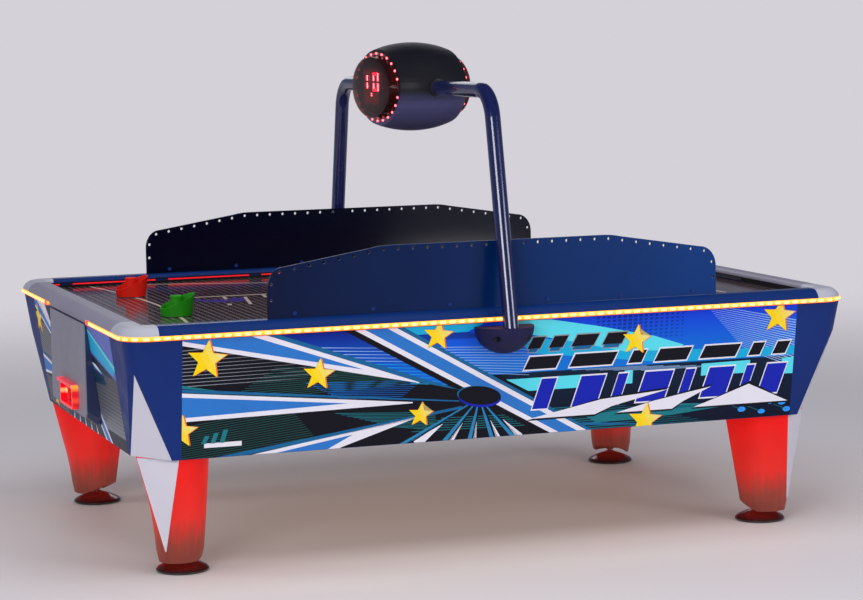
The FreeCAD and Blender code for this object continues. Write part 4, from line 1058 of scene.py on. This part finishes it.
def world():
    """Pale backdrop for the eye, soft fill for diffuse light and a dim room for reflections."""
    made = bpy.data.worlds.new("studio")
    bpy.context.scene.world = made
    made.use_nodes = True
    tree = made.node_tree
    tree.nodes.clear()
    add, link = tree.nodes.new, tree.links.new

    def background(color=(1, 1, 1), strength=1.0):
        node = add("ShaderNodeBackground")
        node.inputs["Color"].default_value = (*color, 1)
        node.inputs["Strength"].default_value = strength
        return node

    seen = background(srgb(212, 209, 216))
    fill = background((0.6, 0.59, 0.62), 0.54)
    room = background()
    split = add("ShaderNodeSeparateXYZ")
    link(add("ShaderNodeTexCoord").outputs["Generated"], split.inputs[0])
    scale = add("ShaderNodeMapRange")
    scale.inputs["From Min"].default_value = -1.0
    link(split.outputs["Z"], scale.inputs["Value"])
    ramp = add("ShaderNodeValToRGB")
    stops = [(0.0, (0.3, 0.28, 0.3)), (0.47, (0.3, 0.29, 0.33)), (0.56, (0.14, 0.15, 0.2)),
             (0.75, (0.04, 0.04, 0.06)), (1.0, (0.03, 0.03, 0.04))]
    link(set_ramp(ramp, stops), room.inputs["Color"])
    link(scale.outputs[0], ramp.inputs[0])
    path = add("ShaderNodeLightPath")

    def sort_rays(kind, rest, chosen):
        """One shader for a kind of ray and another for the rest."""
        node = add("ShaderNodeMixShader")
        for socket, output in enumerate((path.outputs[kind], rest.outputs[0], chosen.outputs[0])):
            link(output, node.inputs[socket])
        return node

    mix = sort_rays("Is Camera Ray", sort_rays("Is Glossy Ray", fill, room), seen)
    link(mix.outputs[0], add("ShaderNodeOutputWorld").inputs[0])


def area(name, at, look, size, power, color=(1, 1, 1), mirrored=True):
    """Soft light aimed at a point; it shows in reflections only if mirrored."""
    light = bpy.data.lights.new(name, "AREA")
    light.shape = "RECTANGLE"
    light.size, light.size_y = size
    light.energy = power
    light.color = color
    obj = new_object(name, light)
    obj.location = at
    obj.rotation_euler = (Vector(look) - Vector(at)).to_track_quat("-Z", "Y").to_euler()
    obj.visible_camera = False
    obj.visible_glossy = mirrored


def lights():
    area("ceiling", (0.0, -1.9, 4.8), (0, -0.2, 0.4), (6.0, 4.2), 172, (1.0, 0.99, 0.98), mirrored=False)
    area("front_left", (-5.2, -7.0, 2.8), (-0.2, -0.5, 0.2), (3.4, 2.6), 250)
    area("front_right", (4.6, -7.4, 2.2), (0.4, -0.5, 0.4), (3.0, 2.6), 165, (0.96, 0.98, 1.0))
    area("left", (-6.0, 1.5, 2.2), (0, 0, 0.6), (1.6, 2.4), 60, mirrored=False)
    area("back", (1.5, 6.5, 3.6), (0, 0, 0.6), (3.6, 2.0), 22)
    area("bounce", (0.0, -0.12, 0.37), (0.0, -0.121, 0.0), (2.3, 1.8), 4.4, (1.0, 0.74, 0.6), mirrored=False)


def camera():
    """The photograph's viewpoint, from angles in radians and a place in metres."""
    data = bpy.data.cameras.new("camera")
    data.sensor_width = 36.0
    data.lens = 106.8
    obj = new_object("camera", data)
    yaw, pitch, roll = 0.336, 0.107, -0.018
    forward = Vector((sin(yaw) * cos(pitch), cos(yaw) * cos(pitch),
                      -sin(pitch)))
    right = Vector((cos(yaw), -sin(yaw), 0))
    up = right.cross(forward)
    turned_right = right * cos(roll) + up * sin(roll)
    turned_up = up * cos(roll) - right * sin(roll)
    matrix = Matrix((turned_right, turned_up, -forward)).transposed().to_4x4()
    matrix.translation = (-2.93, -8.572, 1.729)
    obj.matrix_world = matrix
    bpy.context.scene.camera = obj


# Width of the rounded edges, and the carried-over pieces that have it.
BEVELS = {
    0.0008: ("guard_screws", "scoreboard_bezels"),
    0.001: ("side_panel_front", "side_panel_rear", "console_fascias", "leg_bolts", "foot_front_left",
            "foot_front_right", "foot_rear_left", "foot_rear_right"),
    0.0012: ("white_corner_plates", "corner_caps", "mallet_red", "mallet_green"),
    0.0015: ("side_rail_front", "side_rail_rear", "end_rail_left", "end_rail_right", "arch_bolts"),
    0.002: ("console_left", "console_right", "scoreboard_collars"),
    0.003: ("return_ring_left", "return_ring_right", "arch_bracket_front", "arch_bracket_rear")}


def main():
    build_materials()
    for width, nodes in BEVELS.items():
        for node in nodes:
            soften(NODES[node], width)
    side_art("side_art_front", -1)
    side_art("side_art_rear", 1)
    end_art("end_art_left", -1)
    end_art("end_art_right", 1)
    field_marks()
    guards()
    strip_lamps()
    scoreboard_lamps()
    pocket_liners()
    stage()
    world()
    lights()
    camera()
    bpy.context.scene.view_settings.view_transform = "Standard"


main()
